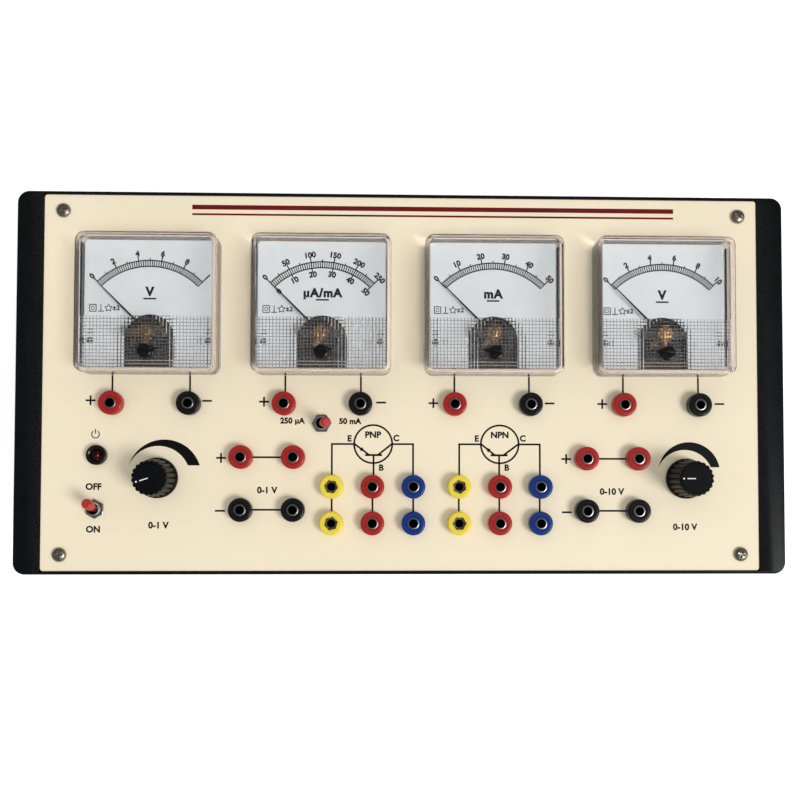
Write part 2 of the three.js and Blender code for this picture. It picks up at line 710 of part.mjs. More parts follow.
function frontPanel() {
  const outline = roundedRing(PANEL_LENGTH, PANEL_DEPTH, PANEL_CORNER, 0, COARSE_CORNER_STEPS);
  const shape = new THREE.Shape(outline.map((point) => new THREE.Vector2(point.x, point.y)));
  const studs = FIXING_STUD_SPACING / 2;
  for (const [x, y] of meterPlaces) {
    shape.holes.push(circle(x, y, METER_BARREL_RADIUS + HOLE_GAP * 2, BARREL_SIDES));
    for (const [dx, dy] of [[-studs, studs], [studs, -studs]]) {
      shape.holes.push(circle(x + dx, y + dy, FIXING_STUD_RADIUS + HOLE_GAP * 2, HEX_SIDES));
    }
  }
  const sockets = [
    ...meterSockets.map(([, , place]) => place),
    ...socketPairs.flatMap(([, , places]) => places),
  ];
  for (const [x, y] of sockets) {
    shape.holes.push(circle(x, y, SOCKET_STEM_RADIUS + HOLE_GAP, HOLE_SIDES));
  }
  for (const [x, y] of [lowKnob, highKnob]) {
    shape.holes.push(circle(x, y, POT_BUSH_RADIUS + HOLE_GAP, HEAD_SIDES));
  }
  for (const [x, y] of [powerSwitch, rangeSwitch]) {
    shape.holes.push(circle(x, y, TOGGLE_BUSH_RADIUS + HOLE_GAP, HEAD_SIDES));
  }
  shape.holes.push(circle(...lamp, LAMP_STEM_RADIUS + HOLE_GAP, HOLE_SIDES));
  for (const [x, y] of mirroredCorners(SCREW_X, SCREW_Y)) {
    shape.holes.push(circle(x, y, SCREW_SHANK_RADIUS + SCREW_GAP, HEX_SIDES));
  }
  const geometry = new THREE.ExtrudeGeometry(shape, { depth: PANEL_THICKNESS, bevelEnabled: false });
  geometry.translate(0, 0, PANEL_UNDERSIDE);
  return asSolid(geometry);
}

addPiece('front_panel', frontPanel(), materials.creamPanel);

// Panel screws: domed heads with a crossed recess, in the corner bosses
function panelScrew() {
  const body = turned([
    [0, -SCREW_LENGTH], [SCREW_SHANK_RADIUS, -SCREW_LENGTH], [SCREW_SHANK_RADIUS, 0],
    [SCREW_HEAD_RADIUS, 0], [SCREW_HEAD_RADIUS, SCREW_HEAD_HEIGHT / 3],
    [SCREW_HEAD_RADIUS * 2 / 3, SCREW_HEAD_HEIGHT], [0, SCREW_HEAD_HEIGHT],
  ], HEAD_SIDES);
  const floor = SCREW_HEAD_HEIGHT - SCREW_RECESS_DEPTH;
  const top = SCREW_HEAD_HEIGHT + OVERRUN;
  return cutBy(body, [
    centredBlock(SCREW_RECESS_LENGTH, SCREW_RECESS_WIDTH, floor, top),
    centredBlock(SCREW_RECESS_WIDTH, SCREW_RECESS_LENGTH, floor, top),
  ]);
}

mirroredCorners(SCREW_X, SCREW_Y).forEach(([x, y], index) => {
  addPiece(`panel_screw_${index + 1}`, panelScrew(), materials.steel, groupAt(x, y, PANEL_TOP));
});

// Sockets: a moulded head and stem, a hexagon nut behind the panel and a solder tag. The yellow
// ones are of another make, with a hexagonal sinking round the bore.
function socket(sunk) {
  const nutTop = -PANEL_THICKNESS;
  const head = turned([
    [0, 0], [SOCKET_HEAD_RADIUS, 0], [SOCKET_HEAD_RADIUS, SOCKET_HEAD_HEIGHT - SOCKET_CHAMFER],
    [SOCKET_HEAD_RADIUS - SOCKET_CHAMFER, SOCKET_HEAD_HEIGHT], [0, SOCKET_HEAD_HEIGHT],
  ], SOCKET_SIDES);
  const body = joined([
    head,
    rod(SOCKET_STEM_RADIUS, nutTop - SOCKET_STEM_REACH, SOCKET_CHAMFER, STEM_SIDES),
    hexagon(SOCKET_NUT_FLATS, nutTop - SOCKET_NUT_HEIGHT, nutTop),
    centredBlock(
      SOCKET_TAG_WIDTH, SOCKET_TAG_THICKNESS, -SOCKET_REACH, nutTop - SOCKET_STEM_REACH + OVERRUN / 2),
  ]);
  const boreFloor = SOCKET_HEAD_HEIGHT - SOCKET_BORE_DEPTH;
  const top = SOCKET_HEAD_HEIGHT + OVERRUN;
  const bored = body.subtract(rod(SOCKET_BORE_RADIUS, boreFloor, top, BORE_SIDES));
  return sunk ? bored.subtract(hexagon(SOCKET_SINK_FLATS, SOCKET_HEAD_HEIGHT - SOCKET_SINK_DEPTH, top)) : bored;
}

function linkedSockets([first, second], sunk) {
  const middle = [(first[0] + second[0]) / 2, (first[1] + second[1]) / 2];
  const length = Math.hypot(second[0] - first[0], second[1] - first[1]);
  const turn = Math.atan2(second[1] - first[1], second[0] - first[0]);
  const wire = rod(LINK_WIRE_RADIUS, -length / 2, length / 2, HEX_SIDES).rotate([0, 90, 0])
    .translate([0, 0, LINK_WIRE_RADIUS * 2 - SOCKET_REACH]);
  return joined([
    placed(socket(sunk), -length / 2, 0), placed(socket(sunk), length / 2, 0), wire,
  ]).rotate([0, 0, THREE.MathUtils.radToDeg(turn)]).translate([...middle, 0]);
}

const sockets = groupAt(0, 0, PANEL_TOP);
for (const [name, material, [x, y]] of meterSockets) {
  addPiece(name, socket(false), material, groupAt(x, y, 0, sockets));
}
for (const [name, material, places] of socketPairs) {
  addPiece(name, linkedSockets(places, material === materials.yellow), material, sockets);
}

// Panel meter cover: an open-backed clear box with a hole for the zero adjuster
function meterCover() {
  const topFace = METER_FACE - 2 * METER_EDGE;
  const outer = loft([
    roundedRing(METER_FACE, METER_FACE, METER_CORNER, 0),
    roundedRing(METER_FACE, METER_FACE, METER_CORNER, METER_HEIGHT - METER_EDGE),
    roundedRing(topFace, topFace, METER_CORNER - METER_EDGE, METER_HEIGHT),
  ]);
  const ceiling = METER_HEIGHT - METER_WINDOW;
  const inner = loft([
    roundedRing(METER_INNER, METER_INNER, METER_INNER_CORNER, -OVERRUN, COARSE_CORNER_STEPS),
    roundedRing(METER_INNER, METER_INNER, METER_INNER_CORNER, ceiling, COARSE_CORNER_STEPS),
  ]);
  const neckHole = ZERO_NECK_RADIUS + RUNNING_GAP;
  const hole = placed(rod(neckHole, ceiling - OVERRUN, METER_HEIGHT + OVERRUN, HEAD_SIDES), 0, -ZERO_DROP);
  return cutBy(outer, [inner, hole]);
}

// Dial plate with the arch that leaves the movement open to view
function archOutline() {
  const radius = ARCH_WIDTH / 2;
  const foot = -METER_INNER / 2 - OVERRUN;
  const spring = -DIAL_SIZE / 2 + ARCH_HEIGHT - ARCH_WIDTH / 2;
  const points = [[-radius, foot], [radius, foot]];
  for (let step = 0; step <= ARCH_STEPS; step += 1) {
    const angle = step * Math.PI / ARCH_STEPS;
    points.push([radius * Math.cos(angle), spring + radius * Math.sin(angle)]);
  }
  return points;
}

function meterDial() {
  const plate = loft([
    roundedRing(DIAL_SIZE, DIAL_SIZE, METER_INNER_CORNER, METER_BASE, COARSE_CORNER_STEPS),
    roundedRing(DIAL_SIZE, DIAL_SIZE, METER_INNER_CORNER, DIAL_TOP, COARSE_CORNER_STEPS),
  ]);
  return plate.subtract(prism(archOutline(), METER_BASE - OVERRUN, DIAL_TOP + OVERRUN));
}

// Meter housing: base, barrel and studs, with the magnet bore, its core and the pivot bridge
function meterHousing() {
  const baseSize = METER_INNER - 2 * HOLE_GAP;
  const barrelEnd = -METER_BARREL_DEPTH - PANEL_THICKNESS;
  const barrelFoot = METER_BARREL_RADIUS - METER_BARREL_TAPER;
  const studs = FIXING_STUD_SPACING / 2;
  const archRoom = METER_INNER - 2 * METER_WALL;
  const body = joined([
    loft([
      roundedRing(baseSize, baseSize, METER_INNER_CORNER, 0, COARSE_CORNER_STEPS),
      roundedRing(baseSize, baseSize, METER_INNER_CORNER, METER_BASE, COARSE_CORNER_STEPS),
    ]),
    turned([
      [0, barrelEnd], [barrelFoot - METER_BARREL_ROUND, barrelEnd],
      [barrelFoot, barrelEnd + METER_BARREL_ROUND],
      [METER_BARREL_RADIUS, METER_BASE / 2], [0, METER_BASE / 2],
    ], BARREL_SIDES),
    ...[[-studs, studs], [studs, -studs]].flatMap(([x, y]) => [
      placed(rod(FIXING_STUD_RADIUS, -PANEL_THICKNESS - FIXING_STUD_REACH, METER_BASE / 2, HEX_SIDES), x, y),
      placed(hexagon(FIXING_NUT_FLATS, -PANEL_THICKNESS - FIXING_NUT_HEIGHT, -PANEL_THICKNESS), x, y),
    ]),
    ...[-1, 1].map((side) => placed(
      rod(CONTACT_STUD_RADIUS, barrelEnd - CONTACT_STUD_LENGTH, barrelEnd + METER_BARREL_ROUND, HEX_SIDES),
      side * CONTACT_STUD_SPACING / 2, -PIVOT_DROP / 2)),
  ]);
  const boreFloor = COIL_BOTTOM - RUNNING_GAP;
  const opened = cutBy(body, [
    prism(archOutline(), SHELF, METER_BASE + OVERRUN)
      .intersect(centredBlock(archRoom, archRoom, SHELF, METER_BASE + OVERRUN)),
    placed(rod(MAGNET_BORE_RADIUS, boreFloor, METER_BASE + OVERRUN, MAGNET_SIDES), 0, -PIVOT_DROP),
  ]);
  const coreMiddle = CORE_TOP - CORE_HEIGHT / 2;
  const strip = MAGNET_BORE_RADIUS + CORE_STRIP_THICKNESS;
  const post = BRIDGE_SPAN / 2;
  const bridgeTop = BRIDGE_LEVEL + BRIDGE_THICKNESS;
  const movement = joined([
    rod(CORE_RADIUS, CORE_TOP - CORE_HEIGHT, CORE_TOP, HEAD_SIDES),
    block(-CORE_STRIP_WIDTH / 2, CORE_STRIP_WIDTH / 2, -strip, strip,
      coreMiddle - CORE_STRIP_THICKNESS / 2, coreMiddle + CORE_STRIP_THICKNESS / 2),
    ...[-1, 1].map((side) => placed(
      centredBlock(BRIDGE_THICKNESS * 2, BRIDGE_WIDTH, SHELF - BRIDGE_THICKNESS, bridgeTop),
      side * (post + BRIDGE_THICKNESS), 0)),
    centredBlock(BRIDGE_SPAN + BRIDGE_THICKNESS, BRIDGE_WIDTH, BRIDGE_LEVEL, bridgeTop),
  ]);
  return opened.add(placed(movement, 0, -PIVOT_DROP));
}

// Pointer: needle, counterweight, hub, staff and the coil that turns round the core
function meterPointer() {
  const top = NEEDLE_LEVEL + NEEDLE_THICKNESS;
  const coilInner = CORE_RADIUS + (MAGNET_BORE_RADIUS - CORE_RADIUS - COIL_THICKNESS) / 2;
  const coilOuter = coilInner + COIL_THICKNESS;
  const coilTop = CORE_TOP + RUNNING_GAP + COIL_THICKNESS;
  const coilOpening = centredBlock(
    coilInner * 2, COIL_WIDTH + OVERRUN, COIL_BOTTOM + COIL_THICKNESS, coilTop - COIL_THICKNESS);
  const coil = centredBlock(coilOuter * 2, COIL_WIDTH, COIL_BOTTOM, coilTop).subtract(coilOpening);
  const needle = prism([
    [-NEEDLE_ROOT / 2, 0], [NEEDLE_ROOT / 2, 0],
    [NEEDLE_TIP / 2, NEEDLE_REACH], [-NEEDLE_TIP / 2, NEEDLE_REACH],
  ], NEEDLE_LEVEL, top);
  const tail = joined([
    block(-NEEDLE_ROOT / 2, NEEDLE_ROOT / 2, -NEEDLE_TAIL, 0, NEEDLE_LEVEL, top),
    placed(centredBlock(NEEDLE_WEIGHT, NEEDLE_WEIGHT, NEEDLE_LEVEL - NEEDLE_THICKNESS, top), 0, -NEEDLE_TAIL),
  ]);
  const staff = joined([
    rod(POINTER_ROD_RADIUS, coilTop - COIL_THICKNESS, BRIDGE_LEVEL - RUNNING_GAP, HEX_SIDES),
    rod(POINTER_HUB_RADIUS, NEEDLE_LEVEL - NEEDLE_THICKNESS, top + NEEDLE_THICKNESS, STEM_SIDES),
  ]);
  return joined([coil, staff, needle, tail]);
}

// Zero adjuster: a slotted head, a neck through the window, a snap collar and the offset pin
function zeroAdjuster() {
  const window = METER_HEIGHT - METER_WINDOW;
  const collarTop = window - RUNNING_GAP;
  const collarBottom = collarTop - ZERO_COLLAR_HEIGHT;
  const seat = METER_HEIGHT + RUNNING_GAP;
  const body = turned([
    [0, collarBottom], [ZERO_COLLAR_RADIUS, collarBottom], [ZERO_NECK_RADIUS, collarTop],
    [ZERO_NECK_RADIUS, seat], [ZERO_HEAD_RADIUS, seat],
    [ZERO_HEAD_RADIUS, seat + ZERO_HEAD_HEIGHT], [0, seat + ZERO_HEAD_HEIGHT],
  ], HEAD_SIDES);
  const pinEnd = collarBottom - ZERO_PIN_LENGTH;
  const pin = placed(rod(ZERO_PIN_RADIUS, pinEnd, collarTop, HEX_SIDES), 0, ZERO_PIN_OFFSET);
  const headTop = seat + ZERO_HEAD_HEIGHT;
  const slot = centredBlock(
    ZERO_HEAD_RADIUS * 3, ZERO_SLOT_WIDTH, headTop - ZERO_SLOT_DEPTH, headTop + OVERRUN);
  return body.add(pin).subtract(slot);
}

meterPlaces.forEach(([x, y], index) => {
  const name = meterNames[index];
  const meter = groupAt(x, y, PANEL_TOP);
  addPiece(`${name}_cover`, meterCover(), materials.clear, meter);
  addPiece(`${name}_housing`, meterHousing(), materials.phenolic, meter);
  addPiece(`${name}_dial`, meterDial(), materials.dial, meter);
  const pivot = groupAt(0, -PIVOT_DROP, 0, meter);
  pivot.rotation.z = THREE.MathUtils.degToRad(NEEDLE_REST_ANGLE);
  addPiece(`${name}_pointer`, meterPointer(), materials.needle, pivot);
  addPiece(`${name}_zero_screw`, zeroAdjuster(), materials.black, groupAt(0, -ZERO_DROP, 0, meter));
});

// Toggle switches: switch case, threaded bush and nut, a ball-seated lever and its coloured cap
function toggleBody() {
  const caseTop = -PANEL_THICKNESS;
  const caseBottom = caseTop - TOGGLE_CASE_HEIGHT;
  const boreFloor = TOGGLE_PIVOT_HEIGHT - TOGGLE_BORE_DEPTH;
  const lug = centredBlock(
    TOGGLE_LUG_WIDTH, TOGGLE_LUG_THICKNESS, caseBottom - TOGGLE_LUG_LENGTH, caseBottom + OVERRUN);
  const lugs = [-1, 0, 1].map((step) => placed(lug, 0, step * TOGGLE_LUG_PITCH));
  const body = joined([
    centredBlock(TOGGLE_CASE_WIDTH, TOGGLE_CASE_LENGTH, caseBottom, caseTop),
    rod(TOGGLE_BUSH_RADIUS, caseTop - OVERRUN, TOGGLE_BUSH_HEIGHT, HEAD_SIDES),
    hexagon(TOGGLE_NUT_FLATS, 0, TOGGLE_NUT_HEIGHT),
    ...lugs,
  ]);
  const throat = turned([
    [0, boreFloor], [TOGGLE_THROAT_RADIUS, boreFloor],
    [TOGGLE_THROAT_RADIUS, TOGGLE_PIVOT_HEIGHT], [TOGGLE_MOUTH_RADIUS, TOGGLE_BUSH_HEIGHT],
    [TOGGLE_MOUTH_RADIUS, TOGGLE_BUSH_HEIGHT + OVERRUN], [0, TOGGLE_BUSH_HEIGHT + OVERRUN],
  ], HEAD_SIDES);
  return body.subtract(throat);
}

function toggleLever() {
  const ball = TOGGLE_BALL_RADIUS;
  const shoulder = ball * Math.SQRT1_2;
  const capFoot = TOGGLE_BAT_LENGTH - TOGGLE_CAP_LENGTH;
  return turned([
    [0, -TOGGLE_TAIL_LENGTH], [TOGGLE_NECK_RADIUS, -TOGGLE_TAIL_LENGTH],
    [TOGGLE_NECK_RADIUS, -ball], [shoulder, -shoulder], [ball, 0], [shoulder, shoulder],
    [TOGGLE_NECK_RADIUS, ball], [TOGGLE_NECK_RADIUS, capFoot - TOGGLE_NECK_RADIUS],
    [TOGGLE_BAT_RADIUS, capFoot], [TOGGLE_BAT_RADIUS, TOGGLE_BAT_LENGTH - TOGGLE_CAP_ROUND * 2],
    [0, TOGGLE_BAT_LENGTH - TOGGLE_CAP_ROUND * 2],
  ], STEM_SIDES);
}

function toggleCap() {
  const foot = TOGGLE_BAT_LENGTH - TOGGLE_CAP_LENGTH;
  const bore = TOGGLE_BAT_RADIUS + TOGGLE_CAP_WALL_GAP;
  const boreTop = TOGGLE_BAT_LENGTH - TOGGLE_CAP_ROUND * 2 + TOGGLE_CAP_WALL_GAP;
  return turned([
    [bore, foot], [TOGGLE_CAP_RADIUS - TOGGLE_CAP_WALL_GAP * 3, foot],
    [TOGGLE_CAP_RADIUS, foot + TOGGLE_CAP_LENGTH / 2],
    [TOGGLE_CAP_RADIUS, TOGGLE_BAT_LENGTH - TOGGLE_CAP_ROUND],
    [TOGGLE_CAP_RADIUS - TOGGLE_CAP_ROUND, TOGGLE_BAT_LENGTH], [0, TOGGLE_BAT_LENGTH],
    [0, boreTop], [bore, boreTop], [bore, foot],
  ], HEAD_SIDES);
}

function addToggle(name, [x, y], facing) {
  const seat = groupAt(x, y, PANEL_TOP);
  seat.rotation.z = facing;
  addPiece(`${name}_body`, toggleBody(), materials.steel, seat);
  const lever = groupAt(0, 0, TOGGLE_PIVOT_HEIGHT, seat);
  lever.rotation.x = -THREE.MathUtils.degToRad(TOGGLE_TILT);
  addPiece(`${name}_lever`, toggleLever(), materials.steel, lever);
  addPiece(`${name}_cap`, toggleCap(), materials.red, lever);
}

addToggle('power_switch', powerSwitch, 0);
addToggle('range_switch', rangeSwitch, -Math.PI / 2);

// Voltage controls: a potentiometer behind the panel and a fluted knob on its shaft
function potentiometer() {
  const bodyTop = -PANEL_THICKNESS;
  const bodyBottom = bodyTop - POT_BODY_HEIGHT;
  const lugs = [-1, 0, 1].map((step) => placed(
    centredBlock(POT_LUG_WIDTH, POT_LUG_LENGTH, bodyTop - POT_LUG_THICKNESS * 2, bodyTop - POT_LUG_THICKNESS),
    step * POT_LUG_PITCH, -POT_BODY_RADIUS));
  const body = joined([
    turned([
      [0, bodyBottom], [POT_BODY_RADIUS - POT_BODY_ROUND, bodyBottom],
      [POT_BODY_RADIUS, bodyBottom + POT_BODY_ROUND], [POT_BODY_RADIUS, bodyTop], [0, bodyTop],
    ], POT_SIDES),
    rod(POT_BUSH_RADIUS, bodyTop - OVERRUN, POT_BUSH_HEIGHT, HEAD_SIDES),
    hexagon(POT_NUT_FLATS, 0, POT_NUT_HEIGHT),
    ...lugs,
  ]);
  return body.subtract(
    rod(SHAFT_RADIUS + RUNNING_GAP, bodyTop - POT_BORE_DEPTH, POT_BUSH_HEIGHT + OVERRUN, HEAD_SIDES));
}

function flutedRing(radius, depth, level) {
  const points = [];
  const count = KNOB_FLUTES * FLUTE_STEPS;
  for (let step = 0; step < count; step += 1) {
    const angle = step * 2 * Math.PI / count;
    const reach = step % FLUTE_STEPS === 0 ? radius - depth : radius;
    points.push(new THREE.Vector3(reach * Math.cos(angle), reach * Math.sin(angle), level));
  }
  return points;
}

function knob() {
  const top = KNOB_HEIGHT;
  const shell = loft([
    flutedRing(KNOB_BASE_RADIUS, 0, 0),
    flutedRing(KNOB_BASE_RADIUS, 0, KNOB_SKIRT_HEIGHT),
    flutedRing(KNOB_BASE_RADIUS - KNOB_SHOULDER, KNOB_FLUTE_DEPTH, KNOB_SKIRT_HEIGHT + KNOB_SHOULDER),
    flutedRing(KNOB_TOP_RADIUS, KNOB_FLUTE_DEPTH, top - KNOB_EDGE),
    flutedRing(KNOB_TOP_RADIUS - KNOB_EDGE, KNOB_FLUTE_DEPTH, top),
  ]);
  const hollow = rod(KNOB_HOLLOW_RADIUS, -OVERRUN, KNOB_HOLLOW_DEPTH, POT_SIDES);
  const shaftEnd = -KNOB_LIFT - PANEL_THICKNESS - POT_BORE_DEPTH + RUNNING_GAP;
  return shell.subtract(hollow).add(rod(SHAFT_RADIUS, shaftEnd, KNOB_HOLLOW_DEPTH + OVERRUN, HEAD_SIDES));
}

function addControl(name, [x, y], pointing) {
  addPiece(`${name}_potentiometer`, potentiometer(), materials.transformer, groupAt(x, y, PANEL_TOP));
  const turn = groupAt(x, y, PANEL_TOP + KNOB_LIFT);
  turn.rotation.z = THREE.MathUtils.degToRad(pointing);
  addPiece(`${name}_knob`, knob(), materials.black, turn);
}

addControl('low_voltage', lowKnob, LOW_KNOB_ANGLE);
addControl('high_voltage', highKnob, HIGH_KNOB_ANGLE);

// Indicator lamp: a screwed bezel with the lens pushed in from behind
function lampHolder() {
  const nutTop = -PANEL_THICKNESS;
  const body = joined([
    turned([
      [0, 0], [LAMP_HEAD_RADIUS, 0], [LAMP_HEAD_RADIUS, LAMP_HEAD_HEIGHT - LAMP_CHAMFER],
      [LAMP_HEAD_RADIUS - LAMP_CHAMFER, LAMP_HEAD_HEIGHT], [0, LAMP_HEAD_HEIGHT],
    ], HEAD_SIDES),
    rod(LAMP_STEM_RADIUS, nutTop - LAMP_STEM_REACH, LAMP_CHAMFER, STEM_SIDES),
    hexagon(LAMP_NUT_FLATS, nutTop - LAMP_NUT_HEIGHT, nutTop),
  ]);
  const seat = LAMP_HEAD_HEIGHT + LENS_RISE - LENS_LENGTH;
  const flangeTop = seat + LENS_FLANGE_HEIGHT + RUNNING_GAP;
  return cutBy(body, [
    rod(LENS_RADIUS + HOLE_GAP, seat - OVERRUN, LAMP_HEAD_HEIGHT + OVERRUN, HEAD_SIDES),
    rod(LENS_FLANGE_RADIUS + HOLE_GAP, nutTop - LAMP_STEM_REACH - OVERRUN, flangeTop, HEAD_SIDES),
  ]);
}

function lampLens() {
  const top = LAMP_HEAD_HEIGHT + LENS_RISE;
  const seat = top - LENS_LENGTH;
  const dome = LENS_RADIUS * Math.SQRT1_2;
  const lens = turned([
    [0, seat], [LENS_FLANGE_RADIUS, seat], [LENS_FLANGE_RADIUS, seat + LENS_FLANGE_HEIGHT],
    [LENS_RADIUS, seat + LENS_FLANGE_HEIGHT], [LENS_RADIUS, top - LENS_RADIUS],
    [dome, top - LENS_RADIUS + dome], [0, top],
  ], HEAD_SIDES);
  const leads = [-1, 1].map((side) => placed(
    centredBlock(LEAD_THICKNESS, LEAD_THICKNESS, seat - LEAD_LENGTH, seat + LENS_FLANGE_HEIGHT / 2),
    side * LEAD_SPACING / 2, 0));
  return joined([lens, ...leads]);
}

const lampSeat = groupAt(...lamp, PANEL_TOP);
addPiece('lamp_holder', lampHolder(), materials.black, lampSeat);
addPiece('lamp_lens', lampLens(), materials.lens, lampSeat);

// Mains transformer: core and winding held by a strap whose feet sit on the floor posts
function mainsTransformer() {
  const outer = CORE_LENGTH / 2 + STRAP;
  const footEnd = outer + STRAP_FOOT;
  const middle = CORE_RISE / 2;
  const strap = centredBlock(outer * 2, CORE_STACK, 0, CORE_RISE + STRAP);
  const feet = [-1, 1].map((side) => block(
    side > 0 ? outer - OVERRUN : -footEnd, side > 0 ? footEnd : -outer + OVERRUN,
    -CORE_STACK / 2, CORE_STACK / 2, 0, STRAP));
  const winding = loft([
    roundedRing(WINDING_LENGTH, WINDING_DEPTH, WINDING_ROUND, middle - WINDING_RISE / 2, COARSE_CORNER_STEPS),
    roundedRing(WINDING_LENGTH, WINDING_DEPTH, WINDING_ROUND, middle + WINDING_RISE / 2, COARSE_CORNER_STEPS),
  ]);
  const holes = [-1, 1].map((side) => placed(
    rod(STRAP_HOLE_RADIUS, -OVERRUN, STRAP + OVERRUN, STEM_SIDES), side * strapHoleX, 0));
  return cutBy(joined([strap, winding, ...feet]), holes);
}

const transformerSeat = groupAt(transformerX, transformerY, TRANSFORMER_SEAT);
addPiece('mains_transformer', mainsTransformer(), materials.transformer, transformerSeat);

// Circuit board with its larger components
function onBoard(solid, [acrossShare, alongShare]) {
  return placed(solid, acrossShare * BOARD_LENGTH, alongShare * BOARD_DEPTH);
}

function heatSink(bottom, top) {
  const fin = centredBlock(HEAT_SINK_WEB, HEAT_SINK_DEPTH, bottom, top);
  const fins = [-1, 1].map((side) => placed(fin, side * (HEAT_SINK_LENGTH - HEAT_SINK_WEB) / 2, 0));
  return joined([centredBlock(HEAT_SINK_LENGTH - HEAT_SINK_WEB, HEAT_SINK_WEB, bottom, top), ...fins]);
}

function circuitBoard() {
  const top = BOARD_THICKNESS;
  const sunk = top / 2;
  const sink = heatSink(sunk, top + HEAT_SINK_HEIGHT);
  const bigCapacitor = rod(BIG_CAPACITOR_RADIUS, sunk, top + BIG_CAPACITOR_HEIGHT, HEAD_SIDES);
  const smallCapacitor = rod(SMALL_CAPACITOR_RADIUS, sunk, top + SMALL_CAPACITOR_HEIGHT, STEM_SIDES);
  const connector = centredBlock(CONNECTOR_LENGTH, CONNECTOR_DEPTH, sunk, top + CONNECTOR_HEIGHT);
  const rectifier = centredBlock(
    BRIDGE_RECTIFIER_LENGTH, BRIDGE_RECTIFIER_DEPTH, sunk, top + BRIDGE_RECTIFIER_HEIGHT);
  const parts = joined([
    centredBlock(BOARD_LENGTH, BOARD_DEPTH, 0, top),
    ...BIG_CAPACITOR_SHARES.map((shares) => onBoard(bigCapacitor, shares)),
    ...SMALL_CAPACITOR_SHARES.map((shares) => onBoard(smallCapacitor, shares)),
    ...HEAT_SINK_SHARES.map((shares) => onBoard(sink, shares)),
    ...CONNECTOR_SHARES.map((shares) => onBoard(connector, shares)),
    onBoard(rectifier, BRIDGE_RECTIFIER_SHARES),
  ]);
  const holes = mirroredCorners(boardHoleX, boardHoleY)
    .map(([x, y]) => placed(rod(PEG_RADIUS + RUNNING_GAP, -OVERRUN, top + OVERRUN, STEM_SIDES), x, y));
  return cutBy(parts, holes);
}

addPiece('circuit_board', circuitBoard(), materials.board, groupAt(boardX, boardY, FLOOR_TOP + POST_HEIGHT));

export default model;
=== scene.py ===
# %% [markdown]
# A bench trainer for plotting transistor curves: a black moulded case whose cream front panel
# carries four clear-fronted meters, rows of 4 mm sockets, two fluted knobs, two miniature toggle
# switches and a small lamp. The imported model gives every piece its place. Blender gives finer
# edges, real materials, print and light. Sizes are millimetres until a mesh is made, then metres.

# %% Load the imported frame
from math import atan2, cos, degrees, hypot, pi, radians, sin, sqrt, tan

import bmesh
import bpy
from mathutils import Euler, Matrix, Vector


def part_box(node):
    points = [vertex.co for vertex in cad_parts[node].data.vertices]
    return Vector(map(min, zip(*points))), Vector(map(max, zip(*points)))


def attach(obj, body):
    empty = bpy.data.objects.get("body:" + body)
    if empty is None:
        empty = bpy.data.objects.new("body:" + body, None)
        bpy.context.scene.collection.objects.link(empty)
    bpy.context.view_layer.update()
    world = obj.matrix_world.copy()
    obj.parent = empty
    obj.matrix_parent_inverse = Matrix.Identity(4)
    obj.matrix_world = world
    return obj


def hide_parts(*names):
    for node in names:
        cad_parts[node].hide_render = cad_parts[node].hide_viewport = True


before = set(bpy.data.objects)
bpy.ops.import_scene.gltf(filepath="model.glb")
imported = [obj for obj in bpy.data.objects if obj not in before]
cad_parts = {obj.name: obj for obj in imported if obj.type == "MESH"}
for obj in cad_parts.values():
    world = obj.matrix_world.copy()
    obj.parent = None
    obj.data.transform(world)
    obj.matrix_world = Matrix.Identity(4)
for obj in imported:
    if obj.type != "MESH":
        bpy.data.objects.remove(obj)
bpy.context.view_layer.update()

MM = 0.001
scene = bpy.context.scene
scene.view_settings.view_transform = "Standard"

# %% [markdown]
# The photograph looks almost straight down. Its slight keystone and the lean of the knobs and
# covers fix where the camera stood, over a point below the panel's middle. A camera straight above
# the middle would be simpler, but nothing would lean as it does in the picture. The picture was cut
# out and centred later, so the lens axis misses its middle, and the lens shift makes up for that.

# %% Camera at the photograph's angle
PANEL_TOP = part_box("front_panel")[1].z / MM
PICTURE_WIDTH = 800
FOCAL_PIXELS = 920.56
AXIS_PIXEL = Vector((413.26, 451.44))
CAMERA_PLACE = Vector((-7.576, -46.11, PANEL_TOP + 435.88))
CAMERA_TILT = [radians(angle) for angle in (-1.7957, 1.5975, -0.133)]

camera_data = bpy.data.cameras.new("photo_camera")
camera_data.sensor_width = 36
camera_data.lens = FOCAL_PIXELS * camera_data.sensor_width / PICTURE_WIDTH
camera_data.shift_x = 0.5 - AXIS_PIXEL.x / PICTURE_WIDTH
camera_data.shift_y = AXIS_PIXEL.y / PICTURE_WIDTH - 0.5
camera_data.clip_start, camera_data.clip_end = 0.01, 20
camera = bpy.data.objects.new("photo_camera", camera_data)
turned_back = Euler(CAMERA_TILT, "XYZ").to_matrix().transposed().to_4x4()
camera.matrix_world = Matrix.Translation(CAMERA_PLACE * MM) @ turned_back
scene.collection.objects.link(camera)
scene.camera = camera
print("camera lens:", round(camera_data.lens, 2), "mm")

# %% [markdown]
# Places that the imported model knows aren't typed again, as two lists would drift apart. A node's
# box gives the middle of its piece, so meters, sockets, knobs and switches are found by name.

# %% Where the pieces are
METERS = ["base_voltmeter", "base_ammeter", "collector_ammeter", "collector_voltmeter"]


def middle_of(node):
    low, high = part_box(node)
    return (low + high) / 2 / MM


def seat_of(node):
    middle = middle_of(node)
    return Vector((middle.x, middle.y, PANEL_TOP))


meter_seats = {name: seat_of(name + "_cover") for name in METERS}
print({name: tuple(round(v, 1) for v in seat) for name, seat in meter_seats.items()})

# %% [markdown]
# A material is a small network of nodes, which could be wired line by line. These helpers keep that
# short: one adds a node and fills its sockets with values or links, the others make the kinds of
# node that come up most.

# %% Node helpers


